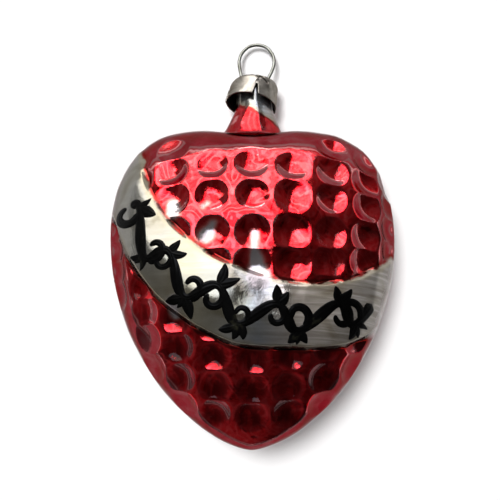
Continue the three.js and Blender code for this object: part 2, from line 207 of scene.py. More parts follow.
def smooth_ring(t, angles):
    """Points of the smooth heart round one ring; -90 degrees is the front."""
    side, front = outlines(t)
    from_neck = float(smooth(t - 1))
    full = 2 + (SECTION_FULLNESS - 2) * from_neck
    c, s = np.cos(angles), np.sin(angles)
    return np.stack([
        side[0] * signed_power(c, 2 / full) + NECK_OFFSET * (1 - from_neck),
        front[0] * signed_power(s, 2 / full),
        front[1] + (side[1] - front[1]) * c * c], axis=-1)


def ring_normals(t, angles):
    down = smooth_ring(min(3.98, t + 0.004), angles) - smooth_ring(max(0, t - 0.004), angles)
    around = smooth_ring(t, angles + 0.01) - smooth_ring(t, angles - 0.01)
    return unit(-np.cross(around, down))


def even_levels(start, end, count):
    fine = 400
    marks = [outlines(start + (end - start) * i / fine) for i in range(fine + 1)]
    steps = [(math.dist(b[0], a[0]) + math.dist(b[1], a[1])) / 2 for a, b in zip(marks, marks[1:])]
    lengths = np.concatenate([[0], np.cumsum(steps)])
    wanted = np.arange(count) / count * lengths[-1]
    return list(start + (end - start) * np.interp(wanted, lengths, np.arange(fine + 1)) / fine)


def even_angles(count):
    fine = np.linspace(-math.pi, math.pi, 2401)
    lengths = length_along(smooth_ring(3, fine))
    return np.interp(np.arange(count) / count * lengths[-1], lengths, fine)


def row_points(grid, height):
    """Where a row of dimples crosses each direction of the grid."""
    above = grid[:, :, 2] - height - ROW_BEND * (STRAIGHT_ROW_HEIGHT - height) * grid[:, :, 0] ** 2
    columns = np.arange(grid.shape[1])
    last = np.minimum(grid.shape[0] - 1 - np.argmax(above[::-1] > 0, axis=0), grid.shape[0] - 2)
    here, after = above[last, columns], above[last + 1, columns]
    part = np.clip(here / (here - after), 0, 1)[:, None]
    return grid[last, columns] * (1 - part) + grid[last + 1, columns] * part


def dimple_places():
    """Centre, radius and depth of each dimple: a row is paced out from the front's middle, then mirrored to
    the left and to the back. No two hand-cut hollows of the mould are quite alike."""
    angles = np.arange(-math.pi / 2, 0, 0.004)
    levels = np.linspace(2, 3.97, 500)
    grid = np.array([smooth_ring(t, angles) for t in levels])
    places = []
    for row in ROW_HEIGHTS:
        share = (ROW_HEIGHTS[0] - row) / (ROW_HEIGHTS[0] - ROW_HEIGHTS[-1])
        pitch = DIMPLE_PITCH + (DIMPLE_PITCH_AT_TIP - DIMPLE_PITCH) * share
        diameter = DIMPLE_DIAMETER + (DIMPLE_DIAMETER_AT_TIP - DIMPLE_DIAMETER) * share
        on_shoulder = row > SHOULDER_ROW_SHARE * LOBE_RISE
        points = row_points(grid, row)
        lifted = row_points(grid, row + SIDE_COLUMN_LIFT)
        walked = length_along(points)
        column = 0
        for i, point in enumerate(points):
            if walked[i] < column * pitch:
                continue
            if point[1] > -SEAM_MARGIN:
                break
            centre = lifted[i] if column >= SIDE_COLUMN else point
            if not (on_shoulder and column < FIRST_SHOULDER_COLUMN):
                for side in (1, -1) if column else (1,):
                    for face in (1, -1):
                        shift = rng.uniform(-DIMPLE_STRAY, DIMPLE_STRAY, 3)
                        radius = diameter / 2 * rng.uniform(*DIMPLE_RADIUS_RANGE)
                        depth = DIMPLE_DEPTH * rng.uniform(*DIMPLE_DEPTH_RANGE)
                        if row == ROW_HEIGHTS[0] and side < 0:
                            depth *= FAINT_SHOULDER
                        places.append((centre * (side, face, 1) + shift, radius, depth))
            column += 1
    return places


def spline(points, each=12):
    """A uniform Catmull-Rom curve through the points."""
    p = np.array(points, float)
    p = np.vstack([p[0], p, p[-1]])
    out = []
    for i in range(1, len(p) - 2):
        s = np.linspace(0, 1, each, endpoint=False)[:, None]
        v0, v1 = (p[i + 1] - p[i - 1]) / 2, (p[i + 2] - p[i]) / 2
        a, b = p[i], p[i + 1]
        out.append((2 * a - 2 * b + v0 + v1) * s**3 + (3 * b - 3 * a - 2 * v0 - v1) * s**2 + v0 * s + a)
    out.append(p[-2:-1])
    return np.concatenate(out)


UPPER_EDGE = spline(SASH_UPPER)
LOWER_EDGE = spline(SASH_LOWER)
SASH_LOOP = np.concatenate([UPPER_EDGE, LOWER_EDGE[::-1]])


def line_distance(x, z, line):
    """Distance to a line of points in the front view."""
    nearest = np.full(np.shape(x), np.inf)
    for a, b in zip(line, line[1:]):
        d = b - a
        along = np.clip(((x - a[0]) * d[0] + (z - a[1]) * d[1]) / max(d @ d, 1e-12), 0, 1)
        nearest = np.minimum(nearest, np.hypot(x - a[0] - along * d[0], z - a[1] - along * d[1]))
    return nearest


def inside_sash(x, z):
    """Distance inside the sash's edge in the front view, negative outside it."""
    inside = np.zeros(np.shape(x), bool)
    for a, b in zip(SASH_LOOP, np.roll(SASH_LOOP, -1, axis=0)):
        if a[1] != b[1]:
            inside ^= ((a[1] > z) != (b[1] > z)) & (x < a[0] + (z - a[1]) / (b[1] - a[1]) * (b[0] - a[0]))
    nearest = line_distance(x, z, np.vstack([SASH_LOOP, SASH_LOOP[:1]]))
    return np.where(inside, nearest, -nearest)


DIMPLES = dimple_places()

# Slow waves left in hand-blown glass: size in millimetres, wavelength, and how many
WAVES = [(0.05, 13.0, 7), (0.022, 6.0, 9)]
NECK_WAVES = 0.3
SHOULDER_WAVES = 2.2
SASH_WAVES = 2.2

# The silvering behind the sash rises from its upper edge and falls again to its lower edge
SASH_CROWN = 2.6
CROWN_SLOPES = [(0.0, 1.0), (0.5, 0.9), (0.62, 0.5), (0.72, -0.2), (0.85, -0.8), (0.95, -0.5), (1.0, 0.0)]

wave_set = []
for height, length, count in WAVES:
    for _ in range(count):
        direction = rng.normal(size=3)
        direction *= 2 * math.pi / (length * rng.uniform(0.7, 1.3)) / np.linalg.norm(direction)
        wave_set.append((direction, rng.uniform(0, 2 * math.pi), height / math.sqrt(count)))


def waviness(points, shift=0.0):
    return sum(h * np.sin(points @ k + phase + shift) for k, phase, h in wave_set)


# A distance that stands for nowhere near, in millimetres, and how far a dimple is felt, in its radii
FAR = 9.0
DIMPLE_REACH = 1.7


def press_depth(points, softness, widening=0.0):
    """How deep the dimples press each point in, and how close the point is to a dimple's rim."""
    depth = np.zeros(len(points))
    rim = np.full(len(points), FAR)
    for centre, radius, deep in DIMPLES:
        away = np.linalg.norm(points - centre, axis=1)
        near = away < DIMPLE_REACH * radius
        d = away[near] / (radius + widening)
        bowl = 1 - d * d
        press = deep * (bowl + np.sqrt(bowl * bowl + softness * softness)) / 2
        depth[near] = np.maximum(depth[near], press)
        rim[near] = np.minimum(rim[near], np.abs(away[near] - radius))
    return depth, rim


def segment_inside(points, a, b, r0, r1):
    """Distance inside a tapering stroke from a to b in the front view, on the front only."""
    a, b = np.array(a, float), np.array(b, float)
    p = points[:, [0, 2]]
    d = b - a
    s = np.clip(((p - a) @ d) / max(d @ d, 1e-9), 0, 1)
    inside = r0 + (r1 - r0) * s - np.linalg.norm(p - a - s[:, None] * d, axis=1)
    return np.where(points[:, 1] < 0, inside, -FAR)


# Where the lacquer has gone, set on bright highlights in the dimples, so these bare spots are partly wear and
# partly painted highlights: from, to, and the stroke's half widths, on the front
WEAR_AND_HIGHLIGHT_STROKES = [
    ((-16.3, 2.2), (-15.9, 0.6), 1.0, 1.3),
    ((-9.6, -4.6), (-8.2, -2.6), 1.5, 0.9),
    ((0.4, -4.2), (0.3, -7.5), 0.4, 0.7),
    ((0.3, -7.5), (1.3, -13.6), 0.7, 2.3),
    ((-10.0, 1.4), (-9.2, 2.2), 0.45, 0.3),
    ((-15.6, -18.2), (-15.8, -20.4), 1.4, 0.7),
]

# The lacquer's slanting edge on the neck, and the seam that ends the sash
NECK_EDGE_HEIGHT = 27.0
NECK_EDGE_SLOPE = 0.6
NECK_BARE_ABOVE = LOBE_RISE + 0.4
SEAM_DEPTH = 3.2
SEAM_LINE = 0.28
SASH_END_DEPTH = 0.8


def bare_distance(points, sash_in):
    """How far inside the bare silver each point lies, in millimetres, negative under the lacquer."""
    off_seam = np.abs(points[:, 1] + SEAM_DEPTH) - SEAM_LINE
    bare = np.where(points[:, 0] > 0, np.minimum(sash_in, off_seam), sash_in)
    neck = points[:, 2] - (NECK_EDGE_HEIGHT - NECK_EDGE_SLOPE * points[:, 0])
    return np.where(points[:, 2] > NECK_BARE_ABOVE, np.maximum(bare, neck), bare)


def wear_and_highlight_distance(points):
    """How far inside a bare spot of wear and painted highlight each point lies, in millimetres."""
    return np.max([segment_inside(points, *stroke) for stroke in WEAR_AND_HIGHLIGHT_STROKES], axis=0)


LIP_RINGS = 6
RINGS_ON_NECK = 16
RINGS_ON_FLARE = 30
RINGS_ON_BODY = 300
POINTS_PER_RING = 560
INNER_SKIP = 4
NECK_SOFTENING = 5

# Where each of these begins and how far it takes to come in, in millimetres: the shoulder by height, parts of
# the lower half by depth below the widest level, and the left side by distance from the middle
SHOULDER_FADE = (13, 6)
LOWER_FADE = (8, 14)
LOWER_STEEP_FADE = (6, 12)
DUST_AND_SHADE_FADE = (16, 12)
DUST_AND_SHADE_LEFT_FADE = (-6, 16)

# The same by the level of the outlines: the body's pressing, and the end of the cone's own looks
BODY_FADE = (1.3, 0.5)
CONE_FADE = (2.0, 0.15)
CONE_STEEP_FADE = (1.85, 0.15)

# The silvering follows the dimples less sharply than the glass, and turns the cone's highlight in
SILVER_SOFTNESS = 0.24
SILVER_WIDENING = 0.15
SILVER_PRESS = 0.92
LOWER_SILVER_PRESS = 0.84
SILVER_SHIFT = 0.6
CONE_NARROWING = (1.4, 1.0, 0.82)

# Darker lacquer on the cone and in the lower hollows: pooled lacquer, and painted shade that darkens the
# whole cone and the insides of the lower dimples
CONE_POOL_AND_SHADE = 0.55
LOWER_POOL_AND_SHADE = 0.75
HOLLOW_SHARE = 0.6

# How the slope over the table, in degrees, is eased or added to for the thin lacquer with its painted rim
# shade, the painted reflection band and the painted highlight line
NECK_STEEPEST = 43
PRESSED_EASE = 0.16
LOWER_EASE = 1
UPWARD_EASE = 18
UPWARD_FADE = (0, 0.25)
RIM_MARGIN = 4
LOWER_DUST_AND_SHADE = 7
DUST_AND_SHADE_ON_RIGHT = 0.65


def grid_normals(grid):
    """Normals of a ring grid, from its neighbours."""
    around = np.roll(grid, -1, axis=1) - np.roll(grid, 1, axis=1)
    down = np.gradient(grid, axis=0)
    return unit(-np.cross(around, down))


def add_object(name, data, place=None):
    obj = bpy.data.objects.new(name, data)
    bpy.context.scene.collection.objects.link(obj)
    if place is not None:
        obj.matrix_world = place
    return obj


def new_object(name, verts, faces, smooth_shade=True):
    mesh = bpy.data.meshes.new(name)
    mesh.from_pydata([tuple(v) for v in verts], [], faces)
    mesh.validate()
    obj = add_object(name, mesh)
    if smooth_shade:
        mesh.polygons.foreach_set("use_smooth", [True] * len(mesh.polygons))
    return obj


def turn_faces_out(obj, weld=None):
    """Face normals outward, after points closer than weld are joined."""
    bm = bmesh.new()
    bm.from_mesh(obj.data)
    if weld:
        bmesh.ops.remove_doubles(bm, verts=bm.verts, dist=weld)
    bmesh.ops.recalc_face_normals(bm, faces=bm.faces)
    bm.to_mesh(obj.data)
    bm.free()


def store(obj, name, values):
    values = np.asarray(values, np.float32)
    if values.ndim == 1:
        obj.data.attributes.new(name, "FLOAT", "POINT").data.foreach_set("value", values)
    else:
        obj.data.attributes.new(name, "FLOAT_VECTOR", "POINT").data.foreach_set("vector", values.ravel())


def heart_to_world(points):
    """Heart millimetres to scene metres."""
    return (np.asarray(points) + (HEART_X, NECK_Y, WIDEST_HEIGHT)) * MM


def fan_faces(ring, middle, count, flip=False):
    i = np.arange(count)
    faces = np.stack([ring + i, np.full(count, middle), ring + (i + 1) % count], axis=1)
    return (faces[:, ::-1] if flip else faces).tolist()


def band_faces(upper, lower, count, flip=False):
    i = np.arange(count)
    j = (i + 1) % count
    faces = np.stack([upper + i, lower + i, lower + j, upper + j], axis=1)
    return (faces[:, ::-1] if flip else faces).tolist()


def slope_for_lacquer_and_shading(flat, levels, outer, normals):
    """The glass's slope over the table in degrees, which places the thin lacquer's painted rim shade, the
    painted reflection band and the painted highlight line: eased where the lacquer should show clean, raised
    low down and most on the left.
    """
    turned = grid_normals(outer)
    steep, plain = (np.degrees(np.arccos(np.clip(np.abs(way @ np.array(DOWN)), 0, 1))).ravel()
                    for way in (turned, normals))
    steep -= PRESSED_EASE * np.maximum(0, steep - plain)
    off_cone = fade(levels, *CONE_STEEP_FADE)
    steep = np.minimum(steep, NECK_STEEPEST + (90 - NECK_STEEPEST) * off_cone)
    low = fade(-flat[:, 2], *LOWER_STEEP_FADE)
    steep = np.maximum(steep, low * (plain - RIM_MARGIN))
    steep -= low * (LOWER_EASE + UPWARD_EASE * fade(turned[:, :, 2].ravel(), *UPWARD_FADE))
    # Painted rim shade spreads wider in the lower half, more on the left
    to_left = fade(-flat[:, 0], *DUST_AND_SHADE_LEFT_FADE)
    dust_and_shade = fade(-flat[:, 2], *DUST_AND_SHADE_FADE) * (DUST_AND_SHADE_ON_RIGHT + (1 - DUST_AND_SHADE_ON_RIGHT) * to_left)
    return steep + LOWER_DUST_AND_SHADE * dust_and_shade


def sash_crown(flat):
    """How far the silvering behind the sash stands out, by the place across the sash."""
    from_top = line_distance(flat[:, 0], flat[:, 2], UPPER_EDGE)
    from_bottom = line_distance(flat[:, 0], flat[:, 2], LOWER_EDGE)
    across = np.linspace(0, 1, 201)
    rise = np.cumsum(np.interp(across, *zip(*CROWN_SLOPES))) / len(across)
    return SASH_CROWN * np.interp(from_top / (from_top + from_bottom), across, rise)


def mouth_lip(angles, height):
    """The rounded lip of the mouth, which joins the two walls, from the inner wall outwards."""
    rings = []
    middle = NECK_RADIUS - GLASS_WALL / 2
    for turn in np.linspace(math.pi, 0, LIP_RINGS + 2)[1:-1]:
        radius = middle - GLASS_WALL / 2 * math.cos(turn)
        x = radius * np.cos(angles) + NECK_OFFSET
        z = np.full(len(angles), height + GLASS_WALL / 2 * math.sin(turn))
        rings.append(np.stack([x, radius * np.sin(angles), z], axis=1))
    return np.concatenate(rings)


def glass_faces(starts, n, rings, m, inner_rings):
    """Faces of the outer wall, its tip, the lip, the inner wall and its tip, given where each part starts."""
    tip_at, lip_at, inner_at, inner_tip_at = starts
    faces = fan_faces((rings - 1) * n, tip_at, n) + band_faces(lip_at, 0, n)
    for k in range(rings - 1):
        faces += band_faces(k * n, (k + 1) * n, n)
    for k in range(LIP_RINGS - 1):
        faces += band_faces(lip_at + (k + 1) * n, lip_at + k * n, n)
    for k in range(inner_rings - 1):
        faces += band_faces(inner_at + k * m, inner_at + (k + 1) * m, m, flip=True)
    faces += fan_faces(inner_at + (inner_rings - 1) * m, inner_tip_at, m, flip=True)
    top_lip = lip_at + (LIP_RINGS - 1) * n
    for i in range(m):
        lip_run = [top_lip + (i * INNER_SKIP + k) % n for k in range(INNER_SKIP + 1)]
        faces.append((inner_at + i, *lip_run, inner_at + (i + 1) % m))
    return faces


def glass_heart():
    angles = even_angles(POINTS_PER_RING)
    mouth_level = GLASS_WALL / 2 / NECK_LENGTH
    levels = (even_levels(mouth_level, 1, RINGS_ON_NECK) + even_levels(1, 2, RINGS_ON_FLARE)
              + even_levels(2, 4, RINGS_ON_BODY))
    rings, n = len(levels), POINTS_PER_RING
    base = np.array([smooth_ring(t, angles) for t in levels])
    weights = np.hanning(2 * NECK_SOFTENING + 3)[1:-1]
    sharp = base.copy()
    for k in range(NECK_SOFTENING, RINGS_ON_NECK + RINGS_ON_FLARE - NECK_SOFTENING):
        base[k] = np.average(sharp[k - NECK_SOFTENING:k + NECK_SOFTENING + 1], axis=0, weights=weights)
    normals = np.array([ring_normals(t, angles) for t in levels])
    flat = base.reshape(-1, 3)
    levels = np.repeat(levels, n)

    # The outer face: the raised sash, the dimples outside it, and the waves of hand-blown glass
    on_body = fade(levels, *BODY_FADE)
    inside = inside_sash(flat[:, 0], flat[:, 2])
    share = fade(inside, -SASH_EDGE_ROUND / 2, SASH_EDGE_ROUND) * smooth(0.5 - flat[:, 1] / SASH_SEAM_EASE)
    raised = SASH_RAISE * share * smooth(-flat[:, 1] / SASH_RAISE_DEPTH)
    depth, rim = press_depth(flat, RIM_SOFTNESS)
    more = 1 + (SHOULDER_WAVES - 1) * fade(flat[:, 2], *SHOULDER_FADE)
    waves = waviness(flat) * (NECK_WAVES + (1 - NECK_WAVES) * on_body) * more
    offset = ((raised - depth * (1 - share)) * on_body + waves).reshape(rings, n, 1)
    outer = base + normals * offset
    inner = (base + normals * (offset - GLASS_WALL))[::INNER_SKIP, ::INNER_SKIP]

    # The silvering behind it
    soft_depth, _ = press_depth(flat, SILVER_SOFTNESS, SILVER_WIDENING)
    low = fade(-flat[:, 2], *LOWER_FADE)
    pressed = SILVER_PRESS + (LOWER_SILVER_PRESS - SILVER_PRESS) * low
    under = (raised + sash_crown(flat) * share - pressed * soft_depth * (1 - share)) * on_body
    under += waviness(flat, SILVER_SHIFT) * (more + SASH_WAVES * share)
    on_cone = 1 - fade(levels, *CONE_FADE)
    silver = grid_normals(base + normals * under.reshape(rings, n, 1)).reshape(-1, 3)
    silver = unit(silver * (1 + on_cone[:, None] * (np.array(CONE_NARROWING) - 1)))

    inner_rings, m = inner.shape[:2]
    tip = np.array([[0, 0, -TIP_DROP]])
    parts = [outer.reshape(-1, 3), tip, mouth_lip(angles, base[0, 0, 2]), inner.reshape(-1, 3),
             tip + (0, 0, GLASS_WALL)]
    starts = np.cumsum([len(part) for part in parts])[:4]
    faces = glass_faces(starts, n, rings, m, inner_rings)
    obj = new_object("glass_heart_fine", heart_to_world(np.concatenate(parts)), faces)

    # What the material reads. Past the outer wall, only the tip is lacquered
    hidden = sum(len(part) for part in parts[1:])
    # Painted shade: the insides of the lower dimples, outside the sash, are darkened as if the lacquer pooled
    # there
    hollow = smooth(depth / DIMPLE_DEPTH / HOLLOW_SHARE) * (1 - share) * low
    edge = np.minimum(inside, SASH_END_DEPTH - flat[:, 1])
    bare = bare_distance(flat, edge)
    store(obj, "bare", np.concatenate([bare, [-FAR], np.full(hidden - 1, FAR)]))
    for name, values, unseen in (
            ("wear_and_highlight", wear_and_highlight_distance(flat), -FAR), ("rim", rim, FAR),
            ("steep", slope_for_lacquer_and_shading(flat, levels, outer, normals), 0.0),
            ("pool_and_shade", np.maximum(CONE_POOL_AND_SHADE * on_cone, LOWER_POOL_AND_SHADE * hollow), 0.0)):
        store(obj, name, np.concatenate([values, np.full(hidden, unseen)]))
    own = np.zeros(3 * (len(flat) + hidden), np.float32)
    obj.data.vertex_normals.foreach_get("vector", own)
    store(obj, "silver_normal", np.concatenate([silver, own.reshape(-1, 3)[len(flat):]]))
    return obj


# Tin cap, in its own frame: the crown's middle is the origin and +Z is its axis
CAP_PLAY = 1.05
CAP_HEIGHT = 5.2
CAP_SHEET = 0.3
CAP_CORNER = 1.1
CAP_FLARE = 0.25
CAP_TILT_BACK = 11
CAP_TILT_RIGHT = 9
CAP_SLIP = 0.2
CROWN_SKEW = 0.1
CROWN_DOME = 0.12
CROWN_DOME_REACH = 5.2
CAP_WELD = 1e-5
SLIT_WIDTH = 1.3
SLIT_TOP_SHARE = 0.3
SLIT_HEIGHT = 2.6
SLIT_COUNT = 4
SLIT_TURN = 9
SLIT_ROUND = 0.35
HOLE_CLEARANCE = 0.32
HOLE_SIDES = 40
HOLE_CUTTER_LENGTH = 4

# Wire hanger
WIRE_DIAMETER = 0.7
EYE_WIDTH = 8.4
EYE_STRETCH = 1.18
EYE_RISE = 10.8
LEG_LENGTH = 12.0
LEG_CLEARANCE = 0.32
EYE_LEAN_RIGHT = 6
EYE_LEAN_BACK = 10
EYE_OPENING = 15
LEG_SPREAD = 6.2
SPREAD_HEIGHT = 2.3
STRAIGHT_ABOVE_CAP = 0.4


def leaning_axis(right, back):
    r, b = math.radians(right), math.radians(back)
    return Vector((math.sin(r), math.sin(b) * math.cos(r), math.cos(b) * math.cos(r)))


WIRE_RADIUS = WIRE_DIAMETER / 2
LEG_X = NECK_RADIUS - GLASS_WALL - WIRE_RADIUS - LEG_CLEARANCE
EYE_AXIS = leaning_axis(EYE_LEAN_RIGHT, EYE_LEAN_BACK)
CAP_AXIS = leaning_axis(CAP_TILT_RIGHT, CAP_TILT_BACK)
CROWN = EYE_AXIS * (WIRE_DIAMETER - EYE_RISE)
cap_shift = Vector((CAP_AXIS.x, CAP_AXIS.y, 0)) * CAP_HEIGHT / 2 - Vector((CAP_SLIP, 0, 0))
cap_turn = Vector((0, 0, 1)).rotation_difference(CAP_AXIS).to_matrix().to_4x4()
CAP_PLACE = Matrix.Translation(CROWN + cap_shift) @ cap_turn

CAP_COLUMNS = 64
CROWN_ROWS = 14
CORNER_ROWS = 9
UPPER_SKIRT_ROWS = 10
SLIT_ROWS = 26


def cap_rows():
    """Radius and height of the outside from the crown's middle to the rim, and the same for the inside."""
    bore = NECK_RADIUS + CAP_PLAY
    top = bore + CAP_SHEET
    outside, inside = [], []
    for i in range(1, CROWN_ROWS):
        r = (top - CAP_CORNER) * i / CROWN_ROWS
        outside.append((r, 0.0))
        inside.append((r, -CAP_SHEET))
    for i in range(CORNER_ROWS):
        a = math.pi / 2 * (1 - i / (CORNER_ROWS - 1))
        for rows, r in ((outside, CAP_CORNER), (inside, CAP_CORNER - CAP_SHEET)):
            rows.append((top - CAP_CORNER + r * math.cos(a), r * math.sin(a) - CAP_CORNER))
    slit_top = SLIT_HEIGHT - CAP_HEIGHT
    heights = [-CAP_CORNER + (slit_top + CAP_CORNER) * i / UPPER_SKIRT_ROWS
               for i in range(1, UPPER_SKIRT_ROWS + 1)]
    heights += [slit_top - SLIT_HEIGHT * i / SLIT_ROWS for i in range(1, SLIT_ROWS + 1)]
    for z in heights:
        flare = CAP_FLARE * (-z - CAP_CORNER) / (CAP_HEIGHT - CAP_CORNER)
        outside.append((top + flare, z))
        inside.append((bore + flare, z))
    return outside, inside


def slit_half_width(z):
    above = z + CAP_HEIGHT
    if above >= SLIT_HEIGHT:
        return 0.0
    half = SLIT_WIDTH / 2 * (1 - (1 - SLIT_TOP_SHARE) * above / SLIT_HEIGHT)
    near_top = (above - (SLIT_HEIGHT - SLIT_ROUND)) / SLIT_ROUND
    return half * math.sqrt(max(0.0, 1 - max(0.0, near_top) ** 2))


def around(angle, centre):
    """Angle measured from a centre, wrapped to half a turn either way."""
    return (angle - centre + math.pi) % (2 * math.pi) - math.pi


FRONT = -math.pi / 2

# Creases in the tin, from one place to another: each end's angle from the front in degrees and its height,
# then the crease's size and depth. A pip is a small round bump, with one place
CREASES = [
    (10, -1.0, 1, -0.15, 0.22, -0.22),
    (10, -1.0, 20, -0.1, 0.20, -0.2),
    (4, -1.9, 11, -1.0, 0.25, 0.12),
    (15, -0.55, 34, -1.7, 0.33, -0.34),
    (20, -1.2, 38, -2.2, 0.5, 0.14),
    (-28, -0.6, -8, -1.1, 0.9, 0.07),
    (-52, -1.9, -30, -2.7, 0.8, -0.06),
    (52, -1.5, 66, -3.4, 0.6, -0.1),
    (-75, -3.0, -60, -4.6, 0.6, 0.05),
]
PIPS = [(-66, -2.7, 0.28, 0.13), (70, -2.2, 0.25, 0.1), (150, -2.4, 0.28, 0.12)]

# The skirt is a little oval and rippled: height, waves round the cap, climb and phase
CAP_OVAL = 0.10
CAP_OVAL_TURN = 0.4
CAP_RIPPLES = [(0.03, 5, 1.1, 0), (0.015, 11, -2.3, 1)]

# How far the metal on the left and right of each slit is bent out, and over what width and height
SLIT_LIPS = [(-0.18, 0.22), (-0.12, 0.05), (0.1, -0.1), (0.35, -0.15)]
SLIT_LIP_WIDTH = 0.9
SLIT_LIP_TOP = SLIT_HEIGHT + 0.6


def falloff(away, size):
    return math.exp(-((away / size) ** 2))


def creased(angle, z):
    """How far the creases and dents alone move the tin."""
    radius = NECK_RADIUS + CAP_PLAY
    moved = 0.0
    for a0, z0, a1, z1, size, depth in CREASES:
        u = radius * around(angle, FRONT + math.radians(a0))
        du, dz = radius * math.radians(a1 - a0), z1 - z0
        along = min(1.0, max(0.0, (u * du + (z - z0) * dz) / (du * du + dz * dz)))
        away = math.hypot(u - along * du, z - z0 - along * dz)
        moved += depth * falloff(away, size)
    return moved


def cap_bulge(angle, z):
    """How far the old, battered tin stands out from its true round at each place on the skirt."""
    bulge = CAP_OVAL * math.cos(2 * (angle - CAP_OVAL_TURN)) * smooth(-z / CAP_HEIGHT)
    for height, turns, climb, phase in CAP_RIPPLES:
        bulge += height * math.sin(turns * angle + climb * z + phase)
    bulge += creased(angle, z)
    radius = NECK_RADIUS + CAP_PLAY
    for a0, z0, size, depth in PIPS:
        away = math.hypot(radius * around(angle, FRONT + math.radians(a0)), z - z0)
        bulge += depth * falloff(away, size)
    above = z + CAP_HEIGHT
    if above < SLIT_LIP_TOP:
        low = 1 - above / SLIT_LIP_TOP
        for k, (left, right) in enumerate(SLIT_LIPS):
            u = radius * around(angle, slit_angle(k))
            lift = left if u < 0 else right
            bulge += lift * low * falloff(u, SLIT_LIP_WIDTH)
    return bulge


def slit_angle(k):
    return FRONT + math.radians(SLIT_TURN + k * 360 / SLIT_COUNT)


def neck_cap():
    outside, inside = cap_rows()
    rows = len(outside)
    verts, faces, dents = [], [], []

    def add_layer(profile):
        start = len(verts)
        for r, z in profile:
            half = slit_half_width(z) / max(r, 0.5)
            for k in range(SLIT_COUNT):
                left = slit_angle(k) + half
                right = slit_angle(k + 1) - half
                for c in range(CAP_COLUMNS + 1):
                    a = left + (right - left) * c / CAP_COLUMNS
                    outward = cap_bulge(a, z) * min(1.0, (r / (NECK_RADIUS + CAP_PLAY)) ** 6)
                    x = (r + outward) * math.cos(a)
                    y = (r + outward) * math.sin(a)
                    dome = 0.0
                    if z > -CAP_CORNER:
                        dome = CROWN_DOME * math.cos(min(1.0, r / CROWN_DOME_REACH) * math.pi / 2)
                    skewed = z + dome + CROWN_SKEW * x * (1 + z / CAP_HEIGHT)
                    verts.append((x, y, skewed))
                    dents.append(max(0.0, -creased(a, z)))
        return start

    def at(row, start, k, c):
        return start + (row * SLIT_COUNT + k) * (CAP_COLUMNS + 1) + c

    def add_face(row, a, b):
        """A face from a row to the next, between two columns."""
        faces.append((at(row, *a), at(row + 1, *a), at(row + 1, *b), at(row, *b)))

    outer, inner = add_layer(outside), add_layer(inside)
    for k in range(SLIT_COUNT):
        for c in range(CAP_COLUMNS):
            for i in range(rows - 1):
                add_face(i, (outer, k, c), (outer, k, c + 1))
                add_face(i, (inner, k, c + 1), (inner, k, c))
            corners = ((outer, k, c), (inner, k, c), (inner, k, c + 1), (outer, k, c + 1))
            faces.append(tuple(at(rows - 1, *corner) for corner in corners))
        for i in range(rows - 1):
            if slit_half_width(outside[i + 1][1]) > 0:
                add_face(i, (inner, k, 0), (outer, k, 0))
                add_face(i, (outer, k, CAP_COLUMNS), (inner, k, CAP_COLUMNS))
    for start, z, flip in ((outer, CROWN_DOME, False), (inner, CROWN_DOME - CAP_SHEET, True)):
        middle = len(verts)
        verts.append((0, 0, z))
        dents.append(0.0)
        for k in range(SLIT_COUNT):
            for c in range(CAP_COLUMNS):
                face = (middle, at(0, start, k, c), at(0, start, k, c + 1))
                faces.append(face[::-1] if flip else face)
    obj = new_object("neck_cap_fine", verts, faces)
    store(obj, "dent", dents)
    turn_faces_out(obj, CAP_WELD)

    # The holes for the legs go straight down, and the cap is placed on the neck afterwards
    obj.data.transform(Matrix.Scale(MM, 4) @ CAP_PLACE)
    radius = (WIRE_RADIUS + HOLE_CLEARANCE) * MM
    for side in (-1, 1):
        hole = bmesh.new()
        bmesh.ops.create_cone(hole, cap_ends=True, segments=HOLE_SIDES, radius1=radius, radius2=radius,
                              depth=HOLE_CUTTER_LENGTH * MM)
        centre = Vector((NECK_X + side * LEG_X, NECK_Y, CROWN.z)) * MM
        bmesh.ops.translate(hole, verts=hole.verts, vec=centre)
        mesh = bpy.data.meshes.new("hole_cutter")
        hole.to_mesh(mesh)
        hole.free()
        cutter = add_object("hole_cutter", mesh)
        cut = obj.modifiers.new("hole", "BOOLEAN")
        cut.operation = "DIFFERENCE"
        cut.solver = "EXACT"
        cut.object = cutter
        depsgraph = bpy.context.evaluated_depsgraph_get()
        drilled = bpy.data.meshes.new_from_object(obj.evaluated_get(depsgraph))
        obj.modifiers.clear()
        obj.data = drilled
        bpy.data.objects.remove(cutter)
    return obj


def between(t, start, end, a, b):
    """From a at start to b at end, in a straight line that goes on past both."""
    return (end - t) / (end - start) * a + (t - start) / (end - start) * b


def centripetal(points, each):
    """A centripetal Catmull-Rom curve through 3-D points."""
    p = [np.array(v, float) for v in points]
    p = [2 * p[0] - p[1]] + p + [2 * p[-1] - p[-2]]
    out = []
    for a, b, c, d in zip(p, p[1:], p[2:], p[3:]):
        t0 = 0.0
        t1 = t0 + math.sqrt(np.linalg.norm(b - a))
        t2 = t1 + math.sqrt(np.linalg.norm(c - b))
        t3 = t2 + math.sqrt(np.linalg.norm(d - c))
        for t in np.linspace(t1, t2, each, endpoint=False):
            middle = between(t, t1, t2, b, c)
            before = between(t, t0, t2, between(t, t0, t1, a, b), middle)
            after = between(t, t1, t3, middle, between(t, t2, t3, c, d))
            out.append(between(t, t1, t2, before, after))
    out.append(p[-2])
    return np.array(out)


WIRE_SIDES = 20
WIRE_END_ROUND = 0.08
LEG_POINTS = 8
EYE_POINTS = 12
POINTS_PER_STEP = 14
WIRE_WANDER = 0.02
WANDER_WAVES = (0.21, 0.17, 0.13)
WANDER_FADE = 40


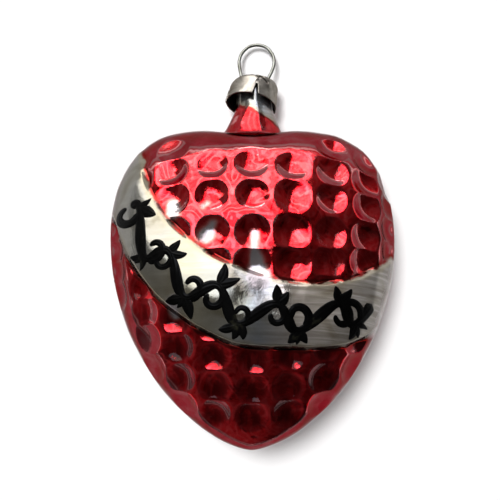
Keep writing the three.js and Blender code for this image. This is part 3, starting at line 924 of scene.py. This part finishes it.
def tube(path, radii, sides):
    """A closed tube along a path, with a flat-turned frame that doesn't twist."""
    tangents = unit(np.gradient(path, axis=0))
    side = np.cross(tangents[0], (0, 1, 0))
    verts, faces = [], []
    for p, t, r in zip(path, tangents, radii):
        side = unit(side - t * (side @ t))
        up = np.cross(t, side)
        for i in range(sides):
            a = 2 * math.pi * i / sides
            verts.append(p + r * (math.cos(a) * side + math.sin(a) * up))
    for k in range(len(path) - 1):
        faces += band_faces(k * sides, (k + 1) * sides, sides, flip=True)
    faces.append(tuple(range(sides)))
    faces.append(tuple(range((len(path) - 1) * sides, len(path) * sides))[::-1])
    return verts, faces


def hanger_wire():
    across = (Vector((1, 0, 0)) - EYE_AXIS * EYE_AXIS.x).normalized()
    half_width = (EYE_WIDTH - WIRE_DIAMETER) / 2
    half_height = half_width * EYE_STRETCH
    eye_centre = EYE_AXIS * (WIRE_RADIUS - half_height)
    bottom, top = CROWN.z - LEG_LENGTH, CROWN.z + STRAIGHT_ABOVE_CAP
    leg = [(NECK_X + LEG_X, NECK_Y, bottom + (top - bottom) * i / (LEG_POINTS - 1))
           for i in range(LEG_POINTS)]
    route = leg + [CROWN + across * LEG_SPREAD / 2 + EYE_AXIS * SPREAD_HEIGHT]
    for i in range(EYE_POINTS + 1):
        a = math.radians((180 + 2 * EYE_OPENING) * i / EYE_POINTS - EYE_OPENING)
        route.append(eye_centre + across * half_width * math.cos(a) + EYE_AXIS * half_height * math.sin(a))
    route.append(CROWN - across * LEG_SPREAD / 2 + EYE_AXIS * SPREAD_HEIGHT)
    route += [(2 * NECK_X - x, y, z) for x, y, z in leg[::-1]]
    path = centripetal(route, POINTS_PER_STEP)
    ends = np.minimum(np.arange(len(path)), np.arange(len(path))[::-1])
    radii = WIRE_RADIUS - WIRE_END_ROUND * (ends == 0)
    along = np.arange(len(path))[:, None]
    wander = WIRE_WANDER * np.sin(along * WANDER_WAVES + (0, 1, 2))
    path = path + wander * smooth(ends / WANDER_FADE)[:, None]
    verts, faces = tube(path, radii, WIRE_SIDES)
    return new_object("hanger_wire_fine", np.array(verts) * MM, faces)


# The black brushwork on the sash
PAINT_HEIGHT = 0.13
PAINT_SINK = 0.06
PAINT_EDGE_SINK = 0.3
PAINT_ACROSS = 12
VINE_WAVES = 5
VINE_START = 0.14
VINE_END = 0.9
VINE_MIDDLE = 0.45
VINE_SWING = 0.19
VINE_WIDTH = 2.0
VINE_PRESSURE = 0.22
VINE_POINTS = 260
CURL_RADIUS = 2.5
CURL_WIDTH = 1.75
CURL_NARROWING = 0.72
CURL_START = 0.5
CURL_SWEEP = 4.6
CURL_POINTS = 44
LEAF_LENGTH = 4.3
LEAF_WIDTH = 2.1
LEAF_TIP_WIDTH = 0.35
LEAF_SPREADS = (0.75, 1.65, 2.5)
LEAF_POINTS = 26
PAINT_MARGIN = 0.25
RIDGE_HEIGHT = 0.18
RIDGES_ACROSS = 9
RIDGES_ALONG = 0.7
STROKE_END_FLOOR = 0.02
RAY_START = -40.0
SHRINKING = (1.0, 0.85, 0.7, 0.55)


def on_sash(along, up):
    """A point of the front view: along runs from the sash's left end to its right end, up across it."""
    place = []
    for edge in (LOWER_EDGE, UPPER_EDGE):
        lengths = length_along(edge)
        place.append(np.array([np.interp(along, lengths / lengths[-1], edge[:, i]) for i in (0, 1)]))
    return place[0] * (1 - up) + place[1] * up


def fitted(root, points, widths):
    """A stroke made small enough about its root to stay on the sash, or None."""
    for share in SHRINKING:
        smaller = root + (points - root) * share
        inside = inside_sash(smaller[:, 0], smaller[:, 1]) - widths * share / 2
        if inside.min() > PAINT_MARGIN:
            return smaller, widths * share
    return None


def brush_outlines():
    """Every brush stroke as front-view points and widths: a vine, its curls and its leaves."""
    strokes = []
    spans = int(VINE_WAVES * 2)

    def vine(s):
        return on_sash(s, VINE_MIDDLE + VINE_SWING * math.sin(2 * math.pi * VINE_WAVES * (s - VINE_START)
                                                               / (VINE_END - VINE_START)))

    s = np.linspace(VINE_START, VINE_END, VINE_POINTS)
    points = np.array([vine(v) for v in s])
    pressure = 1 + VINE_PRESSURE * np.sin(np.linspace(0, 2 * math.pi * VINE_WAVES * 2, VINE_POINTS) + 1)
    strokes.append((points, VINE_WIDTH * pressure))
    for k in range(spans):
        middle = VINE_START + (VINE_END - VINE_START) * (k + 0.5) / spans
        here = vine(middle)
        ahead = vine(middle + 0.004) - vine(middle - 0.004)
        heading = math.atan2(ahead[1], ahead[0])
        side = 1 if k % 2 == 0 else -1
        size = rng.uniform(0.82, 1.15)
        # A curl that winds in on the hollow side of the wave
        turns = np.linspace(0, 1, CURL_POINTS)
        radius = CURL_RADIUS * size * (1 - CURL_NARROWING * turns)
        sweep = -side * (CURL_START + CURL_SWEEP * turns)
        normal = np.array([-math.sin(heading), math.cos(heading)])
        centre = here - side * CURL_RADIUS * size * normal
        start = math.atan2(here[1] - centre[1], here[0] - centre[0])
        curl = centre + np.stack([radius * np.cos(start + sweep), radius * np.sin(start + sweep)], axis=1)
        strokes.append(fitted(here, curl, CURL_WIDTH * size * (1.05 - 0.4 * turns)))
        # Leaves on the outer side
        for spread in LEAF_SPREADS[:2 + k % 2]:
            direction = heading + side * (spread + rng.uniform(-0.2, 0.2))
            t = np.linspace(0, 1, LEAF_POINTS)
            unit = np.array([math.cos(direction), math.sin(direction)])
            bend = rng.uniform(0.6, 2.0) * side * (t * t - t)
            reach = LEAF_LENGTH * size * rng.uniform(0.85, 1.1)
            leaf = here + t[:, None] * reach * unit + bend[:, None] * np.array([-unit[1], unit[0]])
            belly = np.sin(math.pi * t ** rng.uniform(0.6, 1.0)) ** 0.9
            width = LEAF_TIP_WIDTH + LEAF_WIDTH * size * rng.uniform(0.85, 1.1) * belly
            strokes.append(fitted(here, leaf, width))
    return [stroke for stroke in strokes if stroke]


def paint_strokes(heart):
    tree = BVHTree.FromPolygons([v.co.copy() for v in heart.data.vertices],
                                [tuple(p.vertices) for p in heart.data.polygons])
    verts, faces = [], []
    forward = Vector((0, 1, 0))

    def surface(point):
        origin = Vector(heart_to_world((point[0], RAY_START, point[1])))
        hit, normal, _, _ = tree.ray_cast(origin, forward)
        return hit, normal

    for points, widths in brush_outlines():
        tangents = unit(np.gradient(points, axis=0))
        walked = length_along(points)
        from_end = np.minimum(walked, walked[-1] - walked)
        blunt = np.sqrt(np.clip(1 - (1 - np.clip(from_end / (widths / 2), 0, 1)) ** 2, STROKE_END_FLOOR, 1))
        ridge_phase = rng.uniform(0, 6)
        tops, bottoms = [], []
        for p, t, w, b, s in zip(points, tangents, widths, blunt, walked):
            row_top, row_bottom = [], []
            for c in np.linspace(-1, 1, PAINT_ACROSS + 1):
                at = p + np.array([-t[1], t[0]]) * c * w / 2 * b
                hit, normal = surface(at)
                if hit is None:
                    break
                crown = math.sqrt(max(0.0, 1 - c * c)) * b
                ridges = 1 + RIDGE_HEIGHT * math.sin(RIDGES_ACROSS * c + ridge_phase + RIDGES_ALONG * s)
                rise = PAINT_HEIGHT * crown * ridges - PAINT_EDGE_SINK * PAINT_SINK * (1 - crown)
                row_top.append(hit + normal * MM * rise)
                row_bottom.append(hit - normal * MM * PAINT_SINK)
            if len(row_top) == PAINT_ACROSS + 1:
                tops.append(row_top)
                bottoms.append(row_bottom)
        if len(tops) < 3:
            continue
        start = len(verts)
        loop = 2 * (PAINT_ACROSS + 1)
        for top, bottom in zip(tops, bottoms):
            verts += top + bottom[::-1]
        for k in range(len(tops) - 1):
            faces += band_faces(start + k * loop, start + (k + 1) * loop, loop)
        faces.append(tuple(range(start, start + loop))[::-1])
        end = start + (len(tops) - 1) * loop
        faces.append(tuple(range(end, end + loop)))
    obj = new_object("sash_brushwork", verts, faces)
    turn_faces_out(obj)
    return obj


# Materials
def material(name):
    mat = bpy.data.materials.new(name)
    mat.use_nodes = True
    tree = mat.node_tree
    return mat, tree, tree.nodes["Principled BSDF"]


def set_input(socket, value):
    """A number or a colour goes on the socket itself, and another socket is linked to it."""
    if isinstance(value, (int, float)):
        socket.default_value = value
    elif isinstance(value, tuple):
        socket.default_value = value if len(value) == len(socket.default_value) else (*value, 1)
    else:
        socket.id_data.links.new(value, socket)


def set_inputs(node, values):
    for name, value in values.items():
        set_input(node.inputs[name], value)


def add_node(source, kind):
    """A new node in the tree of a socket."""
    return source.id_data.nodes.new(kind)


def object_coords(tree, stretch=None):
    coords = tree.nodes.new("ShaderNodeTexCoord").outputs["Object"]
    if stretch is None:
        return coords
    mapping = tree.nodes.new("ShaderNodeMapping")
    set_inputs(mapping, {"Scale": stretch, "Vector": coords})
    return mapping.outputs["Vector"]


def noise(coords, scale, detail=3.0, roughness=0.5, distortion=0.0):
    node = add_node(coords, "ShaderNodeTexNoise")
    set_inputs(node, {"Vector": coords, "Scale": scale, "Detail": detail, "Roughness": roughness,
                      "Distortion": distortion})
    return node.outputs["Fac"]


def ramp(value, stops):
    node = add_node(value, "ShaderNodeValToRGB")
    while len(node.color_ramp.elements) < len(stops):
        node.color_ramp.elements.new(0.5)
    for element, (place, color) in zip(node.color_ramp.elements, stops):
        element.position = place
        element.color = (*color, 1)
    set_input(node.inputs["Fac"], value)
    return node.outputs["Color"]


def maths(operation, *values):
    node = add_node(values[0], "ShaderNodeMath")
    node.operation = operation
    for socket, value in zip(node.inputs, values):
        set_input(socket, value)
    return node.outputs[0]


def remap(value, low, high, to_low=0.0, to_high=1.0):
    node = add_node(value, "ShaderNodeMapRange")
    node.interpolation_type = "SMOOTHSTEP"
    set_inputs(node, {"Value": value, "From Min": low, "From Max": high, "To Min": to_low,
                      "To Max": to_high})
    return node.outputs["Result"]


def mix(share, a, b, blend="MIX"):
    node = add_node(a, "ShaderNodeMix")
    node.data_type = "RGBA"
    node.blend_type = blend
    colors = [s for s in node.inputs if s.type == "RGBA"]
    for socket, value in zip((node.inputs["Factor"], *colors), (share, a, b)):
        set_input(socket, value)
    return [s for s in node.outputs if s.type == "RGBA"][0]


def mix_value(share, a, b):
    node = add_node(share, "ShaderNodeMix")
    for socket, value in zip((node.inputs["Factor"], *node.inputs[2:4]), (share, a, b)):
        set_input(socket, value)
    return node.outputs[0]


def attribute(tree, name, output="Fac"):
    node = tree.nodes.new("ShaderNodeAttribute")
    node.attribute_name = name
    return node.outputs[output]


def bump(height, strength, distance, normal=None):
    node = add_node(height, "ShaderNodeBump")
    set_inputs(node, {"Strength": strength, "Distance": distance, "Height": height})
    if normal is not None:
        set_input(node.inputs["Normal"], normal)
    return node.outputs["Normal"]


def x_of(vector):
    node = add_node(vector, "ShaderNodeSeparateXYZ")
    set_input(node.inputs[0], vector)
    return node.outputs["X"]


# The walls that stand steep over the table, in degrees: where the lacquer turns thin and grey-red with
# painted rim shade, the painted reflection band, which is also made rougher, and the painted highlight line
# beside it
THIN_AND_SHADE_FROM = 38
THIN_AND_SHADE_TO = 48
REFLECTION_BAND_ANGLE = 47.5
REFLECTION_BAND_CORE = 0.5
REFLECTION_BAND_REACH = 1.8
HIGHLIGHT_LINE_ANGLE = 44.5

# How much the lacquer's swirls follow the dimples' rims
RIM_SWIRLS = 2.2


def glass_material():
    """Silvering seen through red lacquer, with the sash, the upper neck and spots of wear and painted
    highlight left bare.
    """
    mat, tree, shader = material("lacquered_silvered_glass")
    coords = object_coords(tree)
    bare_in = attribute(tree, "bare")
    rim = attribute(tree, "rim")
    ragged = maths("MULTIPLY_ADD", noise(coords, 380, 4), 1.6, -0.8)
    edge = maths("ADD", bare_in, ragged)
    bare = remap(edge, -0.35, 0.15)
    wear_and_highlight = remap(maths("ADD", attribute(tree, "wear_and_highlight"), ragged), -0.9, 0.5)

    # Silver: cream on the left, bluish in the middle, brown and streaked at the right
    streaks = noise(object_coords(tree, (45, 45, 950)), 1.0, 6, 0.65, 0.6)
    patches = noise(coords, 120, 4, 0.55, 0.8)
    x = x_of(coords)
    tint = ramp(remap(x, -0.03, 0.028), [
        (0.0, (0.20, 0.20, 0.19)), (0.2, (0.26, 0.245, 0.19)), (0.38, (0.27, 0.27, 0.25)),
        (0.52, (0.24, 0.265, 0.30)), (0.7, (0.40, 0.37, 0.34)), (1.0, (0.30, 0.29, 0.28))])
    aged = ramp(patches, [
        (0.32, (0.55, 0.50, 0.38)), (0.5, (0.92, 0.90, 0.85)), (0.68, (1.0, 1.0, 1.0))])
    silver = mix(0.85, tint, aged, "MULTIPLY")
    streaked = ramp(streaks, [
        (0.38, (0.60, 0.55, 0.49)), (0.52, (0.92, 0.90, 0.87)), (0.64, (1.4, 1.4, 1.4))])
    silver = mix(remap(x, -0.012, 0.016, 0.2, 0.9), silver, streaked, "MULTIPLY")
    border = remap(edge, 0.2, 1.3, 0.65, 0.0)
    silver = mix(border, silver, (0.22, 0.19, 0.13))
    # Painted highlights, partly wear: bare silver spots in the dimples
    silver = mix(wear_and_highlight, silver, (0.30, 0.275, 0.28))
    bare = maths("MAXIMUM", bare, wear_and_highlight)

    # Red lacquer: deep where it pooled, thin and pinkish on the rims, with painted shade on the cone and in
    # the lower hollows, and painted rim shade, a painted reflection band and a painted highlight line where
    # the glass turns away
    thickness = noise(coords, 150, 6, 0.62, 2.2)
    red = ramp(thickness, [
        (0.35, (0.20, 0.0, 0.002)), (0.44, (0.54, 0.001, 0.005)), (0.52, (0.74, 0.020, 0.025)),
        (0.58, (0.62, 0.002, 0.007)), (0.68, (0.84, 0.052, 0.058))])
    flow = noise(coords, 105, 2, 0.45, 0.6)
    flow = maths("MULTIPLY_ADD", rim, RIM_SWIRLS, maths("MULTIPLY", flow, 66.0))
    swirl = remap(maths("SINE", flow), 0.1, 1.0, 0.0, 0.45)
    red = mix(swirl, red, (0.84, 0.072, 0.079))
    # Painted shade with pooled lacquer: the cone and the lower dimples' insides turn dark red, broken by runs
    runs = remap(noise(object_coords(tree, (700, 700, 70)), 1.0, 3), 0.38, 0.62, 0.55, 1.3)
    red = mix(maths("MULTIPLY", attribute(tree, "pool_and_shade"), runs), red, (0.20, 0.001, 0.003))
    thin = remap(rim, 0.0, 0.5, 0.3, 0.0)
    red = mix(thin, red, (0.75, 0.035, 0.05))
    wobble = maths("MULTIPLY_ADD", noise(coords, 260, 5, 0.6), 7.0, -3.5)
    steep = maths("ADD", attribute(tree, "steep"), wobble)
    # Painted rim shade, with thin lacquer: a darker grey-red where the glass stands steep over the table
    dust_and_rim_shade = ramp(noise(coords, 200, 5, 0.6, 0.5), [
        (0.35, (0.16, 0.005, 0.009)), (0.5, (0.215, 0.013, 0.02)), (0.66, (0.23, 0.05, 0.056))])
    specks = noise(coords, 2400, 2)
    red = mix(remap(specks, 0.73, 0.8, 0.0, 0.5), red, (0.6, 0.3, 0.32))
    red = mix(remap(steep, THIN_AND_SHADE_FROM, THIN_AND_SHADE_TO), red, dust_and_rim_shade)
    # Painted reflection: a grey band where the slope over the table is near one angle, also made rougher
    off_reflection_band = maths("ABSOLUTE", maths("SUBTRACT", steep, REFLECTION_BAND_ANGLE))
    film_and_reflection_band = remap(off_reflection_band, REFLECTION_BAND_CORE, REFLECTION_BAND_REACH, 0.7, 0.0)
    red = mix(film_and_reflection_band, red, (0.20, 0.09, 0.092))
    # Painted highlight: a pale pink line just inside the grey reflection band
    off_highlight_line = maths("ABSOLUTE", maths("SUBTRACT", steep, HIGHLIGHT_LINE_ANGLE))
    red = mix(remap(off_highlight_line, 0.2, 1.0, 0.5, 0.0), red, (0.85, 0.40, 0.40))
    pooled = remap(edge, -1.1, -0.5)
    red = mix(pooled, red, (0.16, 0.008, 0.006))
    rubbed = remap(x, 0.004, 0.014, 0.78, 0.45)
    haze = noise(coords, 90, 3, 0.5, 0.3)
    rough_red = remap(haze, 0.42, 0.72, 0.05, 0.16)
    rough_red = mix_value(film_and_reflection_band, rough_red, 0.3)
    rough_silver = remap(patches, 0.3, 0.7, 0.07, 0.2)

    turn = tree.nodes.new("ShaderNodeVectorTransform")
    turn.vector_type = "NORMAL"
    turn.convert_from = "OBJECT"
    turn.convert_to = "WORLD"
    set_input(turn.inputs[0], attribute(tree, "silver_normal", "Vector"))
    crackle = noise(coords, 520, 6, 0.6, 1.2)
    set_inputs(shader, {
        "Base Color": mix(bare, red, silver), "Metallic": mix_value(bare, 1.0, rubbed),
        "Roughness": mix_value(bare, rough_red, rough_silver), "Specular Tint": (0.42, 0.36, 0.36),
        "Coat Weight": 0.2, "Coat Roughness": 0.03, "Coat IOR": 1.5,
        "Normal": bump(crackle, 0.14, 0.0003, turn.outputs[0])})
    return mat


def tin_material():
    """Old stamped tinplate: dull nickel grey, dark brown painted shade in the hollows of the creases, bright
    where it has rubbed.
    """
    mat, tree, shader = material("stamped_tin")
    coords = object_coords(tree)
    patches = noise(coords, 330, 5, 0.6, 0.5)
    specks = noise(coords, 1500, 4, 0.6)
    tone = ramp(patches, [
        (0.3, (0.15, 0.135, 0.115)), (0.5, (0.24, 0.225, 0.20)), (0.72, (0.34, 0.32, 0.29))])
    # Painted shade: the creased-in hollows darken to near black
    tone = mix(remap(attribute(tree, "dent"), 0.05, 0.2, 0.0, 0.85), tone, (0.03, 0.026, 0.02))
    tone = mix(remap(specks, 0.62, 0.72, 0.0, 0.5), tone, (0.14, 0.11, 0.08))
    drawn = noise(object_coords(tree, (900, 900, 120)), 1.0, 4)
    both = maths("ADD", drawn, maths("MULTIPLY", specks, 0.5))
    set_inputs(shader, {
        "Base Color": tone, "Metallic": 1.0, "Specular Tint": (0.4, 0.37, 0.34),
        "Roughness": remap(patches, 0.3, 0.75, 0.46, 0.3), "Normal": bump(both, 0.18, 0.00008)})
    return mat


def steel_material():
    """Drawn spring wire: pale grey, with small tarnish marks."""
    mat, tree, shader = material("hanger_wire_steel")
    coords = object_coords(tree)
    patches = noise(coords, 420, 5, 0.6, 0.4)
    tone = ramp(patches, [
        (0.28, (0.10, 0.10, 0.08)), (0.45, (0.17, 0.175, 0.155)), (0.7, (0.25, 0.255, 0.245))])
    fine = noise(coords, 2600, 3)
    set_inputs(shader, {
        "Base Color": tone, "Metallic": 1.0, "Specular Tint": (0.12, 0.12, 0.11),
        "Roughness": remap(patches, 0.3, 0.7, 0.42, 0.26), "Normal": bump(fine, 0.12, 0.00004)})
    return mat


def paint_material():
    """Thick glossy black enamel, with a little grey where the brush left it thin."""
    mat, tree, shader = material("black_enamel")
    coords = object_coords(tree)
    thin = noise(coords, 260, 5, 0.6, 0.5)
    tone = ramp(thin, [
        (0.35, (0.0004, 0.0004, 0.0004)), (0.62, (0.001, 0.001, 0.001)), (0.78, (0.022, 0.022, 0.013))])
    set_inputs(shader, {
        "Base Color": tone, "Roughness": remap(thin, 0.3, 0.7, 0.34, 0.6),
        "Specular IOR Level": 0.03, "Coat Weight": 0.06, "Coat Roughness": 0.08,
        "Normal": bump(noise(coords, 900, 4), 0.25, 0.0001)})
    return mat


# Camera: it looks straight down on the table
CAMERA_DISTANCE = 300.0
PIXELS_PER_MM = 4.73
PHOTO_SIZE = 500
SENSOR = 36
TARGET_LEFT = 0.49
TARGET_DROP = 3.44
TARGET = Vector((HEART_X - TARGET_LEFT, NECK_Y, WIDEST_HEIGHT - TARGET_DROP)) * MM


def facing(centre, towards, up):
    """The place of a thing at centre whose own +Z looks along towards and whose +Y leans to up."""
    z = towards.normalized()
    x = up.cross(z).normalized()
    turn = Matrix((x, z.cross(x), z)).transposed().to_4x4()
    return Matrix.Translation(centre) @ turn


def add_camera():
    data = bpy.data.cameras.new("camera")
    data.sensor_width = SENSOR
    data.lens = SENSOR * PIXELS_PER_MM * CAMERA_DISTANCE / PHOTO_SIZE
    data.clip_start = 0.01
    place = facing(TARGET - DOWN * CAMERA_DISTANCE * MM, -DOWN, UP)
    bpy.context.scene.camera = add_object("camera", data, place)


# Windows that stand past the ornament's top, in metres: the left and right sides seen from the camera, the
# lower and upper sides over the table, the light's strength and its colour
WINDOW_AWAY = 0.75
WINDOWS = [
    ("window_low", -0.55, 0.12, 0.02, 0.45, 5.8, (1.0, 0.97, 0.93)),
    ("window_far", -0.95, 0.12, 0.45, 1.15, 5.8, (1.0, 0.97, 0.93)),
    ("window_near", -0.90, 0.12, 1.15, 2.40, 5.6, (0.84, 0.89, 1.0)),
    ("window_strip", 0.15, 0.26, 0.02, 1.60, 5.4, (0.96, 0.92, 1.0)),
]
TABLE_HALF_WIDTH = 1.6
TABLE_COLOR = 0.8
TABLE_GLOW = 0.17

# A broad lamp overhead that lights only the table and lays the soft shadow. It leans to the windows' side by
# so many degrees, and its light spreads over its width in degrees
TABLE_LAMP_SIDE = (UP - RIGHT * 0.8).normalized()
TABLE_LAMP_LEAN = 13
TABLE_LAMP_WIDTH = 12
TABLE_LAMP_POWER = 3.2

# The room's light by height over the table, from below through the horizon to overhead, and its share from
# the side of the windows to the side across from them
ROOM_LEVELS = [(0.0, 0.5), (0.5, 0.36), (0.58, 0.27), (0.68, 0.22), (0.8, 0.19), (0.9, 0.10), (1.0, 0.08)]
ROOM_SHARES = [(0.0, 0.95), (0.4, 0.9), (0.55, 0.85), (0.69, 0.85), (0.8, 0.36), (0.9, 0.2), (1.0, 0.28)]
FAR_SIDE = (RIGHT - 0.45 * UP).normalized()


def add_window(table, name, left, right, low, high, radiance, color):
    data = bpy.data.lights.new(name, "AREA")
    data.shape = "RECTANGLE"
    data.size = right - left
    data.size_y = high - low
    data.energy = radiance * math.pi * data.size * data.size_y
    data.color = color
    centre = TARGET + RIGHT * (left + right) / 2 + UP * WINDOW_AWAY - DOWN * (low + high) / 2
    obj = add_object(name, data, facing(centre, UP, -DOWN))
    unlit = bpy.data.collections.new("not_lit_by_" + name)
    unlit.objects.link(table)
    unlit.collection_objects[0].light_linking.link_state = "EXCLUDE"
    obj.light_linking.receiver_collection = unlit


def empty_tree(owner):
    owner.use_nodes = True
    owner.node_tree.nodes.clear()
    return owner.node_tree


def send_out(tree, output, choice, first, second):
    """The output shows the first shader where choice is 0, and the second where it is 1."""
    chosen = tree.nodes.new("ShaderNodeMixShader")
    for socket, value in zip(chosen.inputs, (choice, first.outputs[0], second.outputs[0])):
        set_input(socket, value)
    set_input(tree.nodes.new(output).inputs["Surface"], chosen.outputs[0])


def add_table(depth):
    middle = TARGET + DOWN * depth
    verts = [middle + (RIGHT * x + UP * y) * TABLE_HALF_WIDTH
             for x, y in ((-1, -1), (1, -1), (1, 1), (-1, 1))]
    table = new_object("table", verts, [(0, 1, 2, 3)], False)
    mat = bpy.data.materials.new("pale_table")
    tree = empty_tree(mat)
    diffuse = tree.nodes.new("ShaderNodeBsdfDiffuse")
    set_inputs(diffuse, {"Color": (TABLE_COLOR,) * 3})
    path = tree.nodes.new("ShaderNodeLightPath")
    seen = maths("MAXIMUM", path.outputs["Is Camera Ray"], path.outputs["Is Glossy Ray"])
    seen = maths("MAXIMUM", seen, path.outputs["Is Transmission Ray"])
    glow = tree.nodes.new("ShaderNodeEmission")
    set_inputs(glow, {"Strength": maths("MULTIPLY", seen, TABLE_GLOW)})
    both = tree.nodes.new("ShaderNodeAddShader")
    set_input(both.inputs[0], diffuse.outputs[0])
    set_input(both.inputs[1], glow.outputs[0])
    clear = tree.nodes.new("ShaderNodeBsdfTransparent")
    from_back = tree.nodes.new("ShaderNodeNewGeometry").outputs["Backfacing"]
    send_out(tree, "ShaderNodeOutputMaterial", from_back, both, clear)
    table.data.materials.append(mat)
    lit = bpy.data.collections.new("lit_by_table_lamp")
    lit.objects.link(table)
    data = bpy.data.lights.new("table_lamp", "SUN")
    data.energy = TABLE_LAMP_POWER
    data.angle = math.radians(TABLE_LAMP_WIDTH)
    lean = math.radians(TABLE_LAMP_LEAN)
    overhead = -DOWN * math.cos(lean) + TABLE_LAMP_SIDE * math.sin(lean)
    lamp = add_object("table_lamp", data, facing(TARGET + overhead, overhead, UP))
    lamp.light_linking.receiver_collection = lit
    return table


def add_world():
    world = bpy.data.worlds.new("room")
    bpy.context.scene.world = world
    tree = empty_tree(world)
    room = tree.nodes.new("ShaderNodeBackground")
    outward = tree.nodes.new("ShaderNodeTexCoord").outputs["Generated"]
    parts = []
    for axis, values in ((-DOWN, ROOM_LEVELS), (FAR_SIDE, ROOM_SHARES)):
        dot = tree.nodes.new("ShaderNodeVectorMath")
        dot.operation = "DOT_PRODUCT"
        set_input(dot.inputs[0], outward)
        set_input(dot.inputs[1], tuple(axis))
        place = maths("MULTIPLY_ADD", dot.outputs["Value"], 0.5, 0.5)
        parts.append(ramp(place, [(at, (value, value, value)) for at, value in values]))
    set_inputs(room, {"Color": mix(1.0, *parts, "MULTIPLY")})
    white = tree.nodes.new("ShaderNodeBackground")
    set_inputs(white, {"Color": (1, 1, 1), "Strength": 1.0})
    seen = tree.nodes.new("ShaderNodeLightPath").outputs["Is Camera Ray"]
    send_out(tree, "ShaderNodeOutputWorld", seen, room, white)


def dress(piece, body, node, mat):
    piece.data.materials.clear()
    piece.data.materials.append(mat)
    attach(piece, body)
    if node:
        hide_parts(node)


bpy.context.scene.view_settings.view_transform = "Standard"
add_camera()

heart = glass_heart()
strokes = paint_strokes(heart)
cap = neck_cap()
wire = hanger_wire()
dress(heart, "heart", "glass_heart", glass_material())
dress(strokes, "heart", None, paint_material())
dress(cap, "cap", "neck_cap", tin_material())
dress(wire, "hanger", "hanger_wire", steel_material())

reach = max((v.co - TARGET) @ DOWN for v in heart.data.vertices)
table = add_table(reach)
for window in WINDOWS:
    add_window(table, *window)
add_world()
